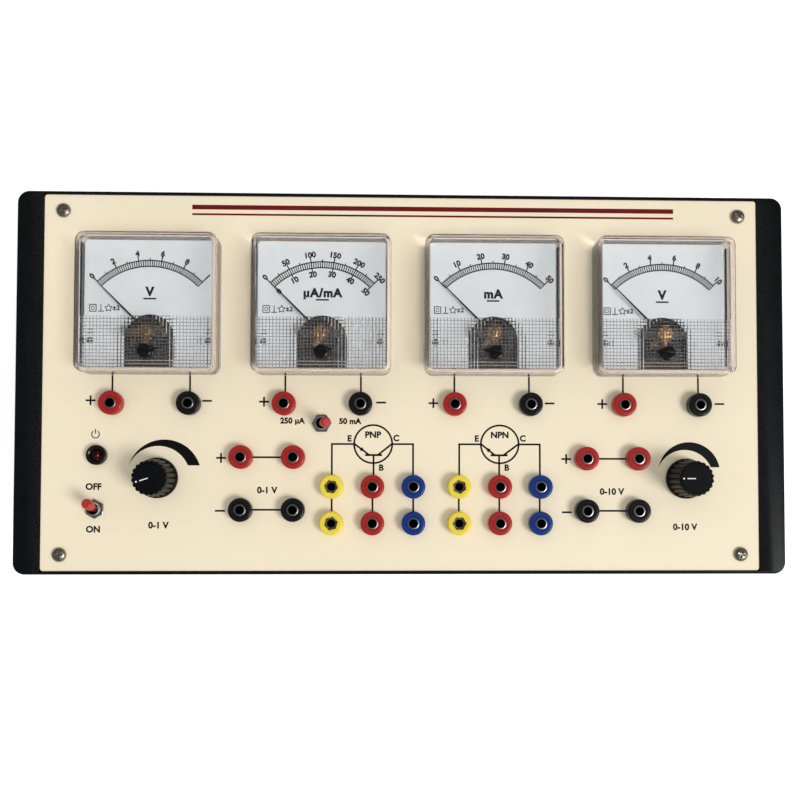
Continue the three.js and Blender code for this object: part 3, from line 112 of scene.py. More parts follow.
def add_node(tree, kind, inputs=None, **settings):
    made = tree.nodes.new("ShaderNode" + kind)
    for key, value in settings.items():
        setattr(made, key, value)
    for key, value in (inputs or {}).items():
        if isinstance(value, bpy.types.NodeSocket):
            tree.links.new(value, made.inputs[key])
        else:
            made.inputs[key].default_value = value
    return made


def maths(tree, operation, first, second=0.0, third=0.0):
    return add_node(tree, "Math", {0: first, 1: second, 2: third}, operation=operation).outputs[0]


def blend_colours(tree, mask, first, second):
    return add_node(tree, "Mix", {0: mask, 6: first, 7: second}, data_type="RGBA").outputs[2]


def ramp(tree, value, low=0.0, high=1.0, start=0.0, end=1.0):
    inputs = {"Value": value, "From Min": low, "From Max": high, "To Min": start, "To Max": end}
    return add_node(tree, "MapRange", inputs).outputs[0]


def object_place(tree):
    return add_node(tree, "TexCoord").outputs["Object"]


def noise(tree, scale, detail, roughness, place=None):
    vector = object_place(tree) if place is None else place
    inputs = {"Vector": vector, "Scale": scale, "Detail": detail, "Roughness": roughness}
    return add_node(tree, "TexNoise", inputs).outputs[0]


def effect_group(name, output, build, **inputs):
    group = bpy.data.node_groups.new(name, "ShaderNodeTree")
    for label, value in inputs.items():
        socket = group.interface.new_socket(label, in_out="INPUT", socket_type="NodeSocketFloat")
        socket.default_value = value
    group.interface.new_socket(output, in_out="OUTPUT", socket_type="NodeSocketFloat")
    given = group.nodes.new("NodeGroupInput").outputs
    group.links.new(build(group, given), group.nodes.new("NodeGroupOutput").inputs[output])
    return group


print("node helpers ready")

# %% [markdown]
# Most of the marks below are ones that real surfaces carry, whatever they are made of. Seven of
# them are node groups with named sockets, so that any material can use them. Mottle is the slow
# change of colour and gloss that handling leaves. Moulded grain is the fine spark texture of
# moulded plastic. Worn edges finds the corners that rub bright. Settled dust lies on what faces up.
# Brushed lines are the drawn marks of turned metal. Bore tarnish and painted shade darkens the inside
# of a bore or sinking below a level: in metal it is tarnish where no plug rubs it clean together
# with painted shade, in plastic painted shade alone. Square border picks out the walls of a square
# tray, where the view passes through far more of the plastic and where the clear covers paint shade.

# %% Shared effect groups


def mottle(tree, given):
    centred = maths(tree, "SUBTRACT", noise(tree, given["Scale"], 4.0, 0.6), 0.5)
    return maths(tree, "MULTIPLY_ADD", centred, given["Contrast"], 0.5)


def moulded_grain(tree, given):
    cells = add_node(tree, "TexVoronoi", {"Vector": object_place(tree), "Scale": given["Scale"]})
    pits = maths(tree, "MULTIPLY", cells.outputs["Distance"], given["Pits"])
    return maths(tree, "ADD", noise(tree, given["Scale"], 3.0, 0.7), pits)


def worn_edges(tree, given):
    edge = ramp(tree, add_node(tree, "NewGeometry").outputs["Pointiness"], 0.52, 0.62)
    broken = ramp(tree, noise(tree, given["Breakup"], 5.0, 0.7), 0.42, 0.62)
    return maths(tree, "MULTIPLY", maths(tree, "MULTIPLY", edge, broken), given["Amount"])


def settled_dust(tree, given):
    normal = add_node(tree, "NewGeometry").outputs["Normal"]
    facing = ramp(tree, add_node(tree, "SeparateXYZ", {0: normal}).outputs["Z"], 0.5, 1.0)
    patches = ramp(tree, noise(tree, given["Scale"], 8.0, 0.75), 0.35, 0.75)
    return maths(tree, "MULTIPLY", maths(tree, "MULTIPLY", facing, patches), given["Amount"])


def brushed_lines(tree, given):
    squeeze = add_node(tree, "CombineXYZ", {"X": 1.0, "Y": given["Stretch"], "Z": 1.0}).outputs[0]
    drawn = add_node(tree, "VectorMath", {0: object_place(tree), 1: squeeze}, operation="MULTIPLY")
    return noise(tree, given["Scale"], 6.0, 0.8, drawn.outputs[0])


# Painted shade, with tarnish in metal: darker below a level, within a reach of the axis.
def deep_tarnish(tree, given):
    parts = add_node(tree, "SeparateXYZ", {0: object_place(tree)}).outputs
    below = maths(tree, "SUBTRACT", given["Level"], maths(tree, "DIVIDE", parts["Z"], MM))
    deep = ramp(tree, maths(tree, "DIVIDE", below, given["Fade"]))
    squares = maths(tree, "ADD", *[maths(tree, "POWER", parts[axis], 2.0) for axis in "XY"])
    away = maths(tree, "DIVIDE", maths(tree, "SQRT", squares), MM)
    return maths(tree, "MULTIPLY", deep, maths(tree, "LESS_THAN", away, given["Reach"]))


def square_border(tree, given):
    parts = add_node(tree, "SeparateXYZ", {0: object_place(tree)}).outputs
    along, across = (maths(tree, "ABSOLUTE", maths(tree, "DIVIDE", parts[axis], MM)) for axis in "XY")
    beyond = maths(tree, "SUBTRACT", maths(tree, "MAXIMUM", along, across), given["Half"])
    return ramp(tree, maths(tree, "DIVIDE", beyond, given["Fade"]))


MOTTLE = effect_group("Mottle", "Value", mottle, Scale=60.0, Contrast=1.0)
GRAIN = effect_group("Moulded grain", "Height", moulded_grain, Scale=2500.0, Pits=0.4)
WORN_EDGES = effect_group("Worn edges", "Mask", worn_edges, Amount=0.5, Breakup=900.0)
DUST = effect_group("Settled dust", "Mask", settled_dust, Amount=0.1, Scale=120.0)
BRUSHED = effect_group("Brushed lines", "Value", brushed_lines, Scale=900.0, Stretch=0.06)
TARNISH_AND_SHADE = effect_group("Bore tarnish and painted shade", "Mask", deep_tarnish, Level=4.0, Fade=0.5, Reach=3.4)
BORDER = effect_group("Square border", "Mask", square_border, Half=30.0, Fade=0.6)
print("effect groups:", [group.name for group in bpy.data.node_groups])

# %% [markdown]
# Most of this trainer is plastic of one sort or another: the black case, coloured socket heads,
# black knobs, soft red switch caps. They differ in colour, gloss and grain but are built the same
# way, so one maker takes those as values. Below a given level, inside a hollow, the colour can
# turn to a near-black copy of itself, which is painted shade. Every finished material is kept in
# LOOKS under its name.

# %% Plastic
DUST_COLOUR = (0.55, 0.52, 0.47, 1.0)
LOOKS = {}


def new_material(name, constants):
    material = bpy.data.materials.new(name)
    material.use_nodes = True
    shader = material.node_tree.nodes["Principled BSDF"]
    for label, value in constants.items():
        shader.inputs[label].default_value = value
    LOOKS[name] = material
    return material.node_tree, shader


def effect(tree, group, **values):
    return add_node(tree, "Group", values, node_tree=group).outputs[0]


def shade(colour, factor):
    return (*[min(1.0, channel * factor) for channel in colour], 1.0)


def connect(tree, shader, base, gloss, roughness, height=None, strength=0.0, depth=0.0):
    tree.links.new(base, shader.inputs["Base Color"])
    tree.links.new(ramp(tree, gloss, 0.0, 1.0, *roughness), shader.inputs["Roughness"])
    if height is not None:
        inputs = {"Height": height, "Strength": strength, "Distance": depth * MM}
        tree.links.new(add_node(tree, "Bump", inputs).outputs["Normal"], shader.inputs["Normal"])


def plastic(name, colour, roughness, grain=3500.0, depth=0.006, dust=0.02, wear=0.25, mottled=60.0, gloss=0.5,
            dark_below=None):
    tree, shader = new_material(name, {"Specular IOR Level": gloss})
    patches = effect(tree, MOTTLE, Scale=mottled, Contrast=1.6)
    base = blend_colours(tree, patches, shade(colour, 0.88), shade(colour, 1.12))
    rubbed = [channel * 0.75 + 0.12 for channel in colour]
    base = blend_colours(tree, effect(tree, WORN_EDGES, Amount=wear), base, (*rubbed, 1.0))
    base = blend_colours(tree, effect(tree, DUST, Amount=dust), base, DUST_COLOUR)
    # Painted shade: deep in a hollow the colour darkens to a shaded copy of itself.
    if dark_below is not None:
        deep = effect(tree, TARNISH_AND_SHADE, Level=dark_below, Fade=0.9)
        base = blend_colours(tree, deep, base, shade(colour, 0.12))
    height = effect(tree, GRAIN, Scale=grain)
    connect(tree, shader, base, patches, (roughness * 0.8, roughness * 1.2), height, 0.35, depth)


plastic("case_black", (0.0035, 0.004, 0.005), 0.26, 1800.0, 0.02, 0.006, wear=0.1, mottled=18.0, gloss=0.13)
plastic("knob_black", (0.003, 0.0035, 0.004), 0.36, 3000.0, 0.02, 0.006, wear=0.1, gloss=0.1)
plastic("bezel_black", (0.004, 0.004, 0.0045), 0.22, 3500.0, 0.008, 0.01, gloss=0.4)
plastic("meter_phenolic", (0.016, 0.015, 0.014), 0.55, 1600.0, 0.02, 0.05)
plastic("socket_red", (0.37, 0.009, 0.007), 0.3)
plastic("socket_black", (0.005, 0.0052, 0.006), 0.26, dust=0.012, gloss=0.35)
# The yellow heads' hexagon sinking is darkened as painted shade.
plastic("socket_yellow", (0.84, 0.66, 0.055), 0.3, dark_below=4.85)
plastic("socket_blue", (0.003, 0.028, 0.20), 0.3, dust=0.01, gloss=0.35)
plastic("cap_red", (0.46, 0.012, 0.008), 0.4, 3000.0, 0.01, 0.04)
plastic("grommet_rubber", (0.011, 0.011, 0.011), 0.75, 1400.0, 0.04, 0.1)
print("plastics:", len(LOOKS))

# %% [markdown]
# Bright metal shows up in the screws, switch nuts, socket sleeves and the hidden solder tags. It is
# a metallic Principled shader whose roughness follows the brushed lines, with a little grime in
# patches so that it doesn't look like a mirror. Deep in a bore it darkens below a given level:
# tarnish together with painted shade.

# %% Metal


def metal(name, colour, roughness, lines=900.0, depth=0.006, grime=0.25, dark_below=None):
    tree, shader = new_material(name, {"Metallic": 1.0})
    drawn = effect(tree, BRUSHED, Scale=lines)
    dulled = maths(tree, "MULTIPLY", effect(tree, MOTTLE, Scale=350.0, Contrast=2.2), grime)
    base = blend_colours(tree, drawn, shade(colour, 0.82), shade(colour, 1.1))
    base = blend_colours(tree, dulled, base, shade(colour, 0.35))
    # Tarnish with painted shade: the inside of a bore turns near black below dark_below.
    if dark_below is not None:
        deep = effect(tree, TARNISH_AND_SHADE, Level=dark_below)
        base = blend_colours(tree, deep, base, (0.012, 0.011, 0.010, 1.0))
    connect(tree, shader, base, drawn, (roughness * 0.6, roughness * 1.5), drawn, 0.2, depth)


metal("screw_steel", (0.52, 0.47, 0.40), 0.4, grime=0.5)
metal("switch_chrome", (0.66, 0.66, 0.67), 0.16, depth=0.002)
metal("dark_steel", (0.11, 0.105, 0.10), 0.4, grime=0.5)
# The sleeves' bores darken below 4.3 mm, or 2.9 mm when sunk: tarnish with painted shade.
metal("socket_sleeve", (0.46, 0.45, 0.43), 0.34, depth=0.002, dark_below=4.3)
metal("sunk_sleeve", (0.52, 0.50, 0.44), 0.3, depth=0.002, dark_below=2.9)
metal("tinned_tag", (0.62, 0.60, 0.55), 0.3)
metal("control_steel", (0.52, 0.52, 0.51), 0.3)
metal("coil_copper", (0.36, 0.20, 0.10), 0.38, lines=5000.0, depth=0.01)
metal("spring_bronze", (0.62, 0.42, 0.18), 0.25)
print("metals ready:", list(LOOKS)[-9:])

# %% [markdown]
# The front panel is a printed plastic laminate glued to a flat plate. It isn't dead flat: a slow
# ripple shows in its sheen, and the faintest orange peel breaks up the reflections. Both are a bump
# and no shape, as they show in nothing else. Its cream is a shade deeper in slow patches. Dial
# paint and inks are plainer, and share one maker.

# %% Cream panel, dial paint and printing inks
tree, shader = new_material("panel_cream", {"Specular IOR Level": 0.25})
slow = effect(tree, MOTTLE, Scale=9.0, Contrast=1.4)
fine = effect(tree, MOTTLE, Scale=420.0, Contrast=1.2)
base = blend_colours(tree, slow, (0.885, 0.775, 0.565, 1.0), (0.93, 0.835, 0.635, 1.0))
base = blend_colours(tree, maths(tree, "MULTIPLY", fine, 0.22), base, (0.84, 0.725, 0.52, 1.0))
base = blend_colours(tree, effect(tree, DUST, Amount=0.05, Scale=260.0), base, (0.72, 0.66, 0.54, 1.0))
ripple = effect(tree, MOTTLE, Scale=16.0, Contrast=1.0)
peel = maths(tree, "MULTIPLY", effect(tree, GRAIN, Scale=1500.0), 0.03)
connect(tree, shader, base, fine, (0.4, 0.54), maths(tree, "ADD", ripple, peel), 0.6, 0.35)


def paint(name, colour, roughness, vary=0.05, grain=2200.0, depth=0.01):
    tree, shader = new_material(name, {"Specular IOR Level": 0.14})
    patches = effect(tree, MOTTLE, Scale=140.0, Contrast=1.5)
    base = blend_colours(tree, patches, shade(colour, 1 - vary), shade(colour, 1 + vary))
    height = effect(tree, GRAIN, Scale=grain)
    connect(tree, shader, base, patches, (roughness * 0.85, roughness * 1.15), height, 0.25, depth)


paint("meter_dial", (0.69, 0.74, 0.755), 0.55, vary=0.04)
paint("ink_black", (0.005, 0.005, 0.006), 0.4, vary=0.25)
paint("ink_dark_red", (0.15, 0.007, 0.01), 0.4, vary=0.15)
paint("dial_ink", (0.008, 0.008, 0.010), 0.5, vary=0.25)
paint("meter_needle", (0.006, 0.006, 0.007), 0.4, vary=0.2)
paint("pointer_white", (0.80, 0.80, 0.78), 0.45)
print("panel and paints ready")

# %% [markdown]
# The meter fronts are clear acrylic. It bends the light that passes, so the shader is a fully
# transmitting Principled one. Rays from lamps would be stopped by it and leave the dials dark, so
# for those rays alone a Transparent shader takes over, nearly clear but darker in the cover's
# walls. The lamp's lens is the same idea in dark red. The walls' colour is darker and mauve, partly
# for the longer path through the plastic and partly as painted shade.

# %% Clear and tinted plastic


def clear_plastic(name, tint, roughness, shadow_tint, shaded_wall_tint=None, wall_shadow=None):
    tree, shader = new_material(name, {"Transmission Weight": 1.0, "IOR": 1.49})
    haze = effect(tree, MOTTLE, Scale=70.0, Contrast=2.0)
    base = blend_colours(tree, haze, shade(tint, 0.98), shade(tint, 1.02))
    passed = (*shadow_tint, 1.0)
    if shaded_wall_tint is not None:
        # Painted shade: the tray's walls get a darker mauve colour, along with the longer path.
        base = blend_colours(tree, effect(tree, BORDER, Half=30.5), base, (*shaded_wall_tint, 1.0))
        inside = add_node(tree, "NewGeometry").outputs["Backfacing"]
        outer_wall = maths(tree, "SUBTRACT", effect(tree, BORDER, Half=31.6), inside)
        passed = blend_colours(tree, outer_wall, passed, (*wall_shadow, 1.0))
    connect(tree, shader, base, haze, (roughness * 0.6, roughness * 1.6))
    see_through = add_node(tree, "BsdfTransparent", {"Color": passed})
    lamp_ray = add_node(tree, "LightPath").outputs["Is Shadow Ray"]
    choice = add_node(tree, "MixShader", {0: lamp_ray, 1: shader.outputs[0], 2: see_through.outputs[0]})
    tree.links.new(choice.outputs[0], tree.nodes["Material Output"].inputs["Surface"])


clear_plastic("meter_clear", (0.99, 0.965, 0.96), 0.03, (0.99, 0.985, 0.98),
              shaded_wall_tint=(0.75, 0.72, 0.78), wall_shadow=(0.46, 0.43, 0.40))
clear_plastic("lens_red", (0.03, 0.001, 0.002), 0.12, (0.4, 0.05, 0.05))
print("clear plastics ready")

# %% [markdown]
# Hidden inside the case are a varnished transformer and a brown phenolic board. They can only be
# seen if the model is opened, but they still get a real finish: fine lines of laminations across
# the core and a paper-like mottle on the board. They, the panel and a few more keep their packed
# shapes, which are fine enough, and only change material.

# %% Finishes for the pieces inside
tree, shader = new_material("transformer_steel", {"Metallic": 0.6})
inputs = {"Vector": object_place(tree), "Scale": 900.0, "Distortion": 1.5}
sheets = add_node(tree, "TexWave", inputs, bands_direction="Y").outputs[1]
varnish = effect(tree, MOTTLE, Scale=200.0, Contrast=1.8)
base = blend_colours(tree, sheets, (0.10, 0.075, 0.05, 1.0), (0.26, 0.24, 0.22, 1.0))
base = blend_colours(tree, maths(tree, "MULTIPLY", varnish, 0.5), base, (0.16, 0.10, 0.045, 1.0))
connect(tree, shader, base, varnish, (0.3, 0.6), sheets, 0.3, 0.05)
paint("board_brown", (0.30, 0.15, 0.045), 0.45, vary=0.3, grain=900.0, depth=0.03)
for node, look in {
    "front_panel": "panel_cream", "mains_transformer": "transformer_steel", "circuit_board": "board_brown",
    "low_voltage_potentiometer": "control_steel", "high_voltage_potentiometer": "control_steel",
    **{name + "_housing": "meter_phenolic" for name in METERS},
}.items():
    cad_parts[node].data.materials.clear()
    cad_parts[node].data.materials.append(LOOKS[look])
print("carried-over nodes finished")

# %% [markdown]
# Nearly every piece here is either turned on a lathe or moulded in a shape with rounded corners.
# One mesh maker turns a profile round the Z axis, another stretches a skin over a stack of rings,
# and a third makes a flat shape of any outline. Ready-made cylinders and cubes would need a cut or
# a bevel for every edge that a profile simply holds.

# %% Mesh makers


def mesh_of(bm):
    bmesh.ops.remove_doubles(bm, verts=bm.verts, dist=1e-5)
    bmesh.ops.recalc_face_normals(bm, faces=bm.faces)
    bmesh.ops.scale(bm, vec=(MM, MM, MM), verts=bm.verts)
    mesh = bpy.data.meshes.new("part")
    bm.to_mesh(mesh)
    bm.free()
    return mesh


def arc(radius, start, end, steps, centre=(0.0, 0.0)):
    angles = [radians(start + (end - start) * step / steps) for step in range(steps + 1)]
    return [(centre[0] + radius * cos(a), centre[1] + radius * sin(a)) for a in angles]


def rectangle(left, right, low, high):
    return [(right, high), (left, high), (left, low), (right, low)]


def hexagon(flats):
    return arc(flats / sqrt(3), 0, 300, 5)


def dome(radius, height, foot, step=12):
    return [(radius * cos(a), foot + height * sin(a)) for a in map(radians, range(0, 90, step))]


def level_ring(outline, level):
    return [Vector((x, y, level)) for x, y in outline]


def rounded_rectangle(x, y, corner, steps):
    outline = []
    for quarter, centre in enumerate(rectangle(-x, x, -y, y)):
        outline += arc(corner, 90 * quarter, 90 * quarter + 90, steps, centre)
    return outline


def rounded_ring(length, depth, corner, level, steps):
    return level_ring(rounded_rectangle(length / 2 - corner, depth / 2 - corner, corner, steps), level)


def add_skin(bm, rings, closed_path=False):
    made = [[bm.verts.new(point) for point in ring] for ring in rings]
    pairs = list(zip(made, made[1:])) + ([(made[-1], made[0])] if closed_path else [])
    for lower, upper in pairs:
        for step in range(len(lower)):
            after = (step + 1) % len(lower)
            bm.faces.new((lower[step], lower[after], upper[after], upper[step]))
    if not closed_path:
        bm.faces.new(list(reversed(made[0])))
        bm.faces.new(made[-1])


def add_prism(bm, outline, bottom, top):
    add_skin(bm, [level_ring(outline, bottom), level_ring(outline, top)])


def add_turned(bm, profile, sides, closed_path=False, centre=(0, 0)):
    rings = [level_ring(arc(max(r, 0.002), 0, 360, sides, centre)[:-1], z) for r, z in profile]
    add_skin(bm, rings, closed_path)


def turned(profile, sides, closed_path=False):
    bm = bmesh.new()
    add_turned(bm, profile, sides, closed_path)
    return mesh_of(bm)


def loft_mesh(rings):
    bm = bmesh.new()
    add_skin(bm, rings)
    return mesh_of(bm)


def prism_mesh(outline, bottom, top):
    return loft_mesh([level_ring(outline, bottom), level_ring(outline, top)])


def box_mesh(length, depth, bottom, top):
    return prism_mesh(rectangle(-length / 2, length / 2, -depth / 2, depth / 2), bottom, top)


print("mesh makers ready")

# %% [markdown]
# Holes and slots are cut with booleans. Real moulded and machined edges are never knife sharp, and
# small bevels are what catch the light along them. Both are modifiers, and they are applied at
# once, so that what is kept is a plain mesh. Every piece says which body it rides with and, where
# there is one, which solid it replaces.

# %% Cutting, joining and softening


def up(height):
    return Vector((0, 0, height))


def rotation(angle, axis="Z"):
    return Matrix.Rotation(radians(angle), 4, axis)


def run_modifier(mesh, kind, **settings):
    holder = bpy.data.objects.new("holder", mesh)
    scene.collection.objects.link(holder)
    modifier = holder.modifiers.new(kind.lower(), kind)
    for key, value in settings.items():
        setattr(modifier, key, value)
    made = bpy.data.meshes.new_from_object(holder.evaluated_get(bpy.context.evaluated_depsgraph_get()))
    bpy.data.objects.remove(holder)
    return made


def combine(mesh, other, operation):
    tool = bpy.data.objects.new("tool", other)
    scene.collection.objects.link(tool)
    made = run_modifier(mesh, "BOOLEAN", object=tool, operation=operation, solver="EXACT")
    bpy.data.objects.remove(tool)
    return made


def cut(mesh, *tools):
    for tool in tools:
        mesh = combine(mesh, tool, "DIFFERENCE")
    return mesh


def cross_cut(head, length, width, floor, top):
    return cut(head, box_mesh(length, width, floor, top), box_mesh(width, length, floor, top))


def softened(mesh, width, segments=2, angle=50):
    return run_modifier(mesh, "BEVEL", width=width * MM, segments=segments, limit_method="ANGLE",
                        angle_limit=radians(angle), use_clamp_overlap=True)


def add_piece(name, mesh, look, node=None, seat=(0, 0, 0), turn=0.0, body="case", smooth=38):
    mesh = mesh.copy()
    mesh.name = name
    mesh.materials.clear()
    mesh.materials.append(LOOKS[look])
    mesh.shade_smooth()
    mesh.set_sharp_from_angle(angle=radians(smooth))
    piece = bpy.data.objects.new(name, mesh)
    piece.matrix_world = Matrix.Translation(Vector(seat) * MM) @ rotation(turn)
    scene.collection.objects.link(piece)
    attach(piece, body)
    if node:
        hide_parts(node)


print("modifiers ready")

# %% [markdown]
# The case is one moulding: four slightly leaning walls, a floor, a recess that takes the panel, and
# two wide ends that are hollow from below so that no wall gets too thick. The outside is a skin
# over rings, which gives the lean and both rounded edges at once. Room, recess, end hollows and the
# cord's hole are then cut out of it.

# %% Case
CASE_LENGTH, CASE_DEPTH, CASE_HEIGHT = 365.0, 181.0, 70.0
CASE_CORNER, LEAN, WALL, FOOT_HEIGHT, FLOOR_TOP = 5.5, tan(radians(1.5)), 3.2, 3.0, 6.0
BASE_ROUND, RIM_ROUND = 2.2, 1.1
RECESS = Vector((339.8, 177.8))
PANEL_UNDERSIDE = PANEL_TOP - 3.0
END_CEILING = CASE_HEIGHT - 4.2
CORD_PLACE = middle_of("cord_grommet")


def case_ring(level, inset):
    inset += (CASE_HEIGHT - level) * LEAN
    length, depth = CASE_LENGTH - 2 * inset, CASE_DEPTH - 2 * inset
    return rounded_ring(length, depth, CASE_CORNER - inset * 0.2, level, 12)


def end_hollow(side):
    rings = []
    for level in (FOOT_HEIGHT - 1, END_CEILING):
        lean = (CASE_HEIGHT - level) * LEAN
        outer = CASE_LENGTH / 2 - WALL - lean
        inner = RECESS.x / 2 + (END_CEILING - level) * LEAN - lean
        ring = rounded_ring(outer - inner, CASE_DEPTH - 2 * WALL - 2 * lean, 1.5, level, 3)
        rings.append([point + Vector((side * (outer + inner) / 2, 0, 0)) for point in ring])
    return loft_mesh(rings)


base = [case_ring(FOOT_HEIGHT + BASE_ROUND - z, BASE_ROUND - x) for x, z in arc(BASE_ROUND, 90, 0, 5)]
rim = [case_ring(CASE_HEIGHT - RIM_ROUND + z, RIM_ROUND - x) for x, z in arc(RIM_ROUND, 0, 90, 6)]
room = []
for level in (FLOOR_TOP, CASE_HEIGHT + 1):
    lean = 2 * (CASE_HEIGHT - level) * LEAN
    room.append(rounded_ring(RECESS.x - 6 - lean, CASE_DEPTH - 2 * WALL - lean, 4, level, 4))
recess = box_mesh(RECESS.x, RECESS.y, PANEL_UNDERSIDE, CASE_HEIGHT + 2)
cord_hole = turned([(6.1, -6), (6.1, 6)], 32)
cord_hole.transform(Matrix.Translation(CORD_PLACE * MM) @ rotation(90, "X"))
case_shell = cut(loft_mesh(base + rim), loft_mesh(room), recess, end_hollow(-1), end_hollow(1), cord_hole)
case_shell = softened(case_shell, 0.25)
add_piece("case_moulding", case_shell, "case_black", "case_tub", smooth=32)
print("case faces:", len(case_shell.polygons))

# %% [markdown]
# Feet, and the short ribs that stiffen each end hollow, are only seen from below. They could be
# joined to the case, but closed shells that reach into the moulding look the same and are simpler.
# A rubber ring lines the cord's hole. It is turned and then tipped to suit the leaning wall.

# %% Feet, end ribs and grommet
FOOT_PLACES = [(x, y) for x in (-149.9, 149.9) for y in (-70.5, 70.5)]
FOOT_PROFILE = [(0, 0), (5.6, 0), (6.2, 0.15), (6.75, 0.6), (7.0, 1.2), (7.0, 4.2), (0, 4.2)]
RIB_NEAR, RIB_FAR, RIB_BOTTOM, RIB_TOP = 168.6, 180.2, 51.9, 66.2

bm = bmesh.new()
for place in FOOT_PLACES:
    add_turned(bm, FOOT_PROFILE, 40, centre=place)
for side in (-1, 1):
    for y in (-CASE_DEPTH / 4, 0.0, CASE_DEPTH / 4):
        add_prism(bm, rectangle(side * RIB_NEAR, side * RIB_FAR, y - 1, y + 1), RIB_BOTTOM, RIB_TOP)
add_piece("case_feet_and_ribs", mesh_of(bm), "case_black")

rear_lip = [(3.8, -2.9), (7.2, -2.9), (7.65, -2.75), (7.8, -2.4), (7.8, -1.9), (5.8, -1.8)]
front_lip = [(5.8, 1.8), (7.8, 1.9), (7.8, 2.4), (7.65, 2.75), (7.2, 2.9), (4.3, 2.9), (3.9, 2.6), (3.8, 2.2)]
grommet = turned(rear_lip + front_lip, 40, True)
grommet.transform(rotation(-91.5, "X"))
add_piece("cord_grommet_ring", grommet, "grommet_rubber", "cord_grommet", CORD_PLACE)
print("feet:", len(FOOT_PLACES))

# %% [markdown]
# A panel screw is a domed head with a crossed recess. The head is turned, and two crossed blocks
# cut the recess. Its shank runs down into the case's boss. Each screw has a turn of its own,
# because real ones never stop in line.

# %% Panel screws
screw = turned([(0, -13), (0.9, -13), (1.5, -12.2), (1.5, 0), (3.3, 0), *dome(3.4, 1.85, 0.35), (0, 2.2)], 40)
screw = softened(cross_cut(screw, 3.8, 0.85, 0.95, 3), 0.08)
for index, turn in enumerate((20, 52, 8, 71), start=1):
    node = f"panel_screw_{index}"
    add_piece(node + "_head", screw, "screw_steel", node, seat_of(node), turn)
print("screw faces:", len(screw.polygons))

# %% [markdown]
# A 4 mm socket is a coloured plastic head and stem round a plated sleeve. A fine groove runs round
# the hole, and the yellow ones have a hexagonal sinking instead. Behind the panel are a hexagon nut
# and a solder tag. The real heads come out of two moulds, so both kinds are made once and copied.

# %% Sockets
SOCKET_RADIUS, SINK_FLATS, SINK_FLOOR, SLEEVE_BORE = 5.6, 5.7, 3.2, 2.0
NUT_FLATS, NUT_TOP = 10.0, -3.0


def add_nut(bm, face, chamfer, bottom):
    stack = [(face, bottom), (NUT_FLATS, bottom + chamfer), (NUT_FLATS, NUT_TOP - chamfer), (face, NUT_TOP)]
    add_skin(bm, [level_ring(hexagon(flats), level) for flats, level in stack])


def socket_metal(top, lip):
    bm = bmesh.new()
    foot = [(2.6, top - 0.3), (2.6, -10.6), (0, -10.6), (0, -9.0)]
    add_turned(bm, [(SLEEVE_BORE, -9.0), *lip, *foot], 32, True)
    add_nut(bm, 9.2, 0.4, -6.0)
    add_prism(bm, rectangle(-1.4, 1.4, -0.5, 0.5), -15.5, -10.55)
    return mesh_of(bm)


groove = [(2.62, 4.75), (2.85, 4.98), (3.2, 5.0), (3.4, 4.78), (3.6, 5.0)]
edge = arc(0.9, 90, 0, 6, (SOCKET_RADIUS - 0.9, 4.1))
stem = [(SOCKET_RADIUS, 0.3), (SOCKET_RADIUS - 0.25, 0.0), (3.9, 0.0), (3.9, -10.5)]
plain_body = turned([(2.62, -10.5), *groove, *edge, *stem], 40, True)
sunk_body = cut(plain_body, prism_mesh(hexagon(SINK_FLATS), SINK_FLOOR, 6.0))
flush_metal = socket_metal(5.03, [(SLEEVE_BORE, 4.83), (2.15, 5.03), (2.6, 5.03), (2.72, 4.95)])
sunk_metal = socket_metal(SINK_FLOOR, [(SLEEVE_BORE, SINK_FLOOR), (2.6, SINK_FLOOR)])


def add_socket(name, place, colour, node):
    if colour == "yellow":
        body, sleeve, sleeve_look = sunk_body, sunk_metal, "sunk_sleeve"
    else:
        body, sleeve, sleeve_look = plain_body, flush_metal, "socket_sleeve"
    turn = (sum(map(ord, name)) * 37) % 60
    add_piece(name, body, "socket_" + colour, node, place, turn)
    add_piece(name + "_sleeve", sleeve, sleeve_look, None, place, turn)


for name in METERS:
    for colour in ("red", "black"):
        node = f"{name}_{colour}_socket"
        add_socket(node + "_head", seat_of(node), colour, node)
print("single sockets:", 2 * len(METERS))

# %% [markdown]
# Each output and each leg of a transistor has two sockets of one colour, so that two leads can meet
# there. A wire joins their tags behind the panel. The longer side of a pair's box tells which way
# it lies, so that one loop does for pairs across the panel and pairs along it.

# %% Joined pairs of sockets
WIRE_LEVEL = -14.1
LEGS = {"emitter": "yellow", "base": "red", "collector": "blue"}
PAIRS = {f"output_{level}_{colour}_pair": colour for level in ("low", "high") for colour in ("red", "black")}
PAIRS.update({f"{kind}_{leg}_pair": colour for kind in ("pnp", "npn") for leg, colour in LEGS.items()})
pair_places = {}
for node, colour in PAIRS.items():
    low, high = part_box(node)
    size, middle = (high - low) / MM, seat_of(node)
    axis = Vector((1, 0, 0)) if size.x > size.y else Vector((0, 1, 0))
    reach = max(size.x, size.y) / 2 - SOCKET_RADIUS
    pair_places[node] = [middle - axis * reach, middle + axis * reach]
    for index, place in enumerate(pair_places[node], start=1):
        add_socket(f"{node}_head_{index}", place, colour, node)
    wire = turned([(0.7, -reach), (0.7, reach)], 12)
    wire.transform(rotation(90, "Y" if axis.x else "X"))
    add_piece(node + "_wire", wire, "tinned_tag", seat=middle + up(WIRE_LEVEL))
print("pairs:", {node: round((ends[1] - ends[0]).length, 2) for node, ends in pair_places.items()})

# %% [markdown]
# The tall knobs have a plain skirt. Their flutes could be cut one by one, but a wave on the radius
# gives all of them. It starts above the skirt and runs out through the top edge, so the top has a
# scalloped outline. A fine groove sets off the top disc, and a white line and dot on it show where
# the knob points.

# %% Knobs
KNOB_TOP, KNOB_SEAT, FLUTES, KNOB_SIDES = 16.6, 0.6, 20, 200


def knob_ring(radius, depth, level):
    points = []
    for side in range(KNOB_SIDES):
        angle = 2 * pi * side / KNOB_SIDES
        reach = radius - depth * (1 - abs(sin(FLUTES * angle / 2)) ** 0.7)
        points.append(Vector((reach * cos(angle), reach * sin(angle), level)))
    return points


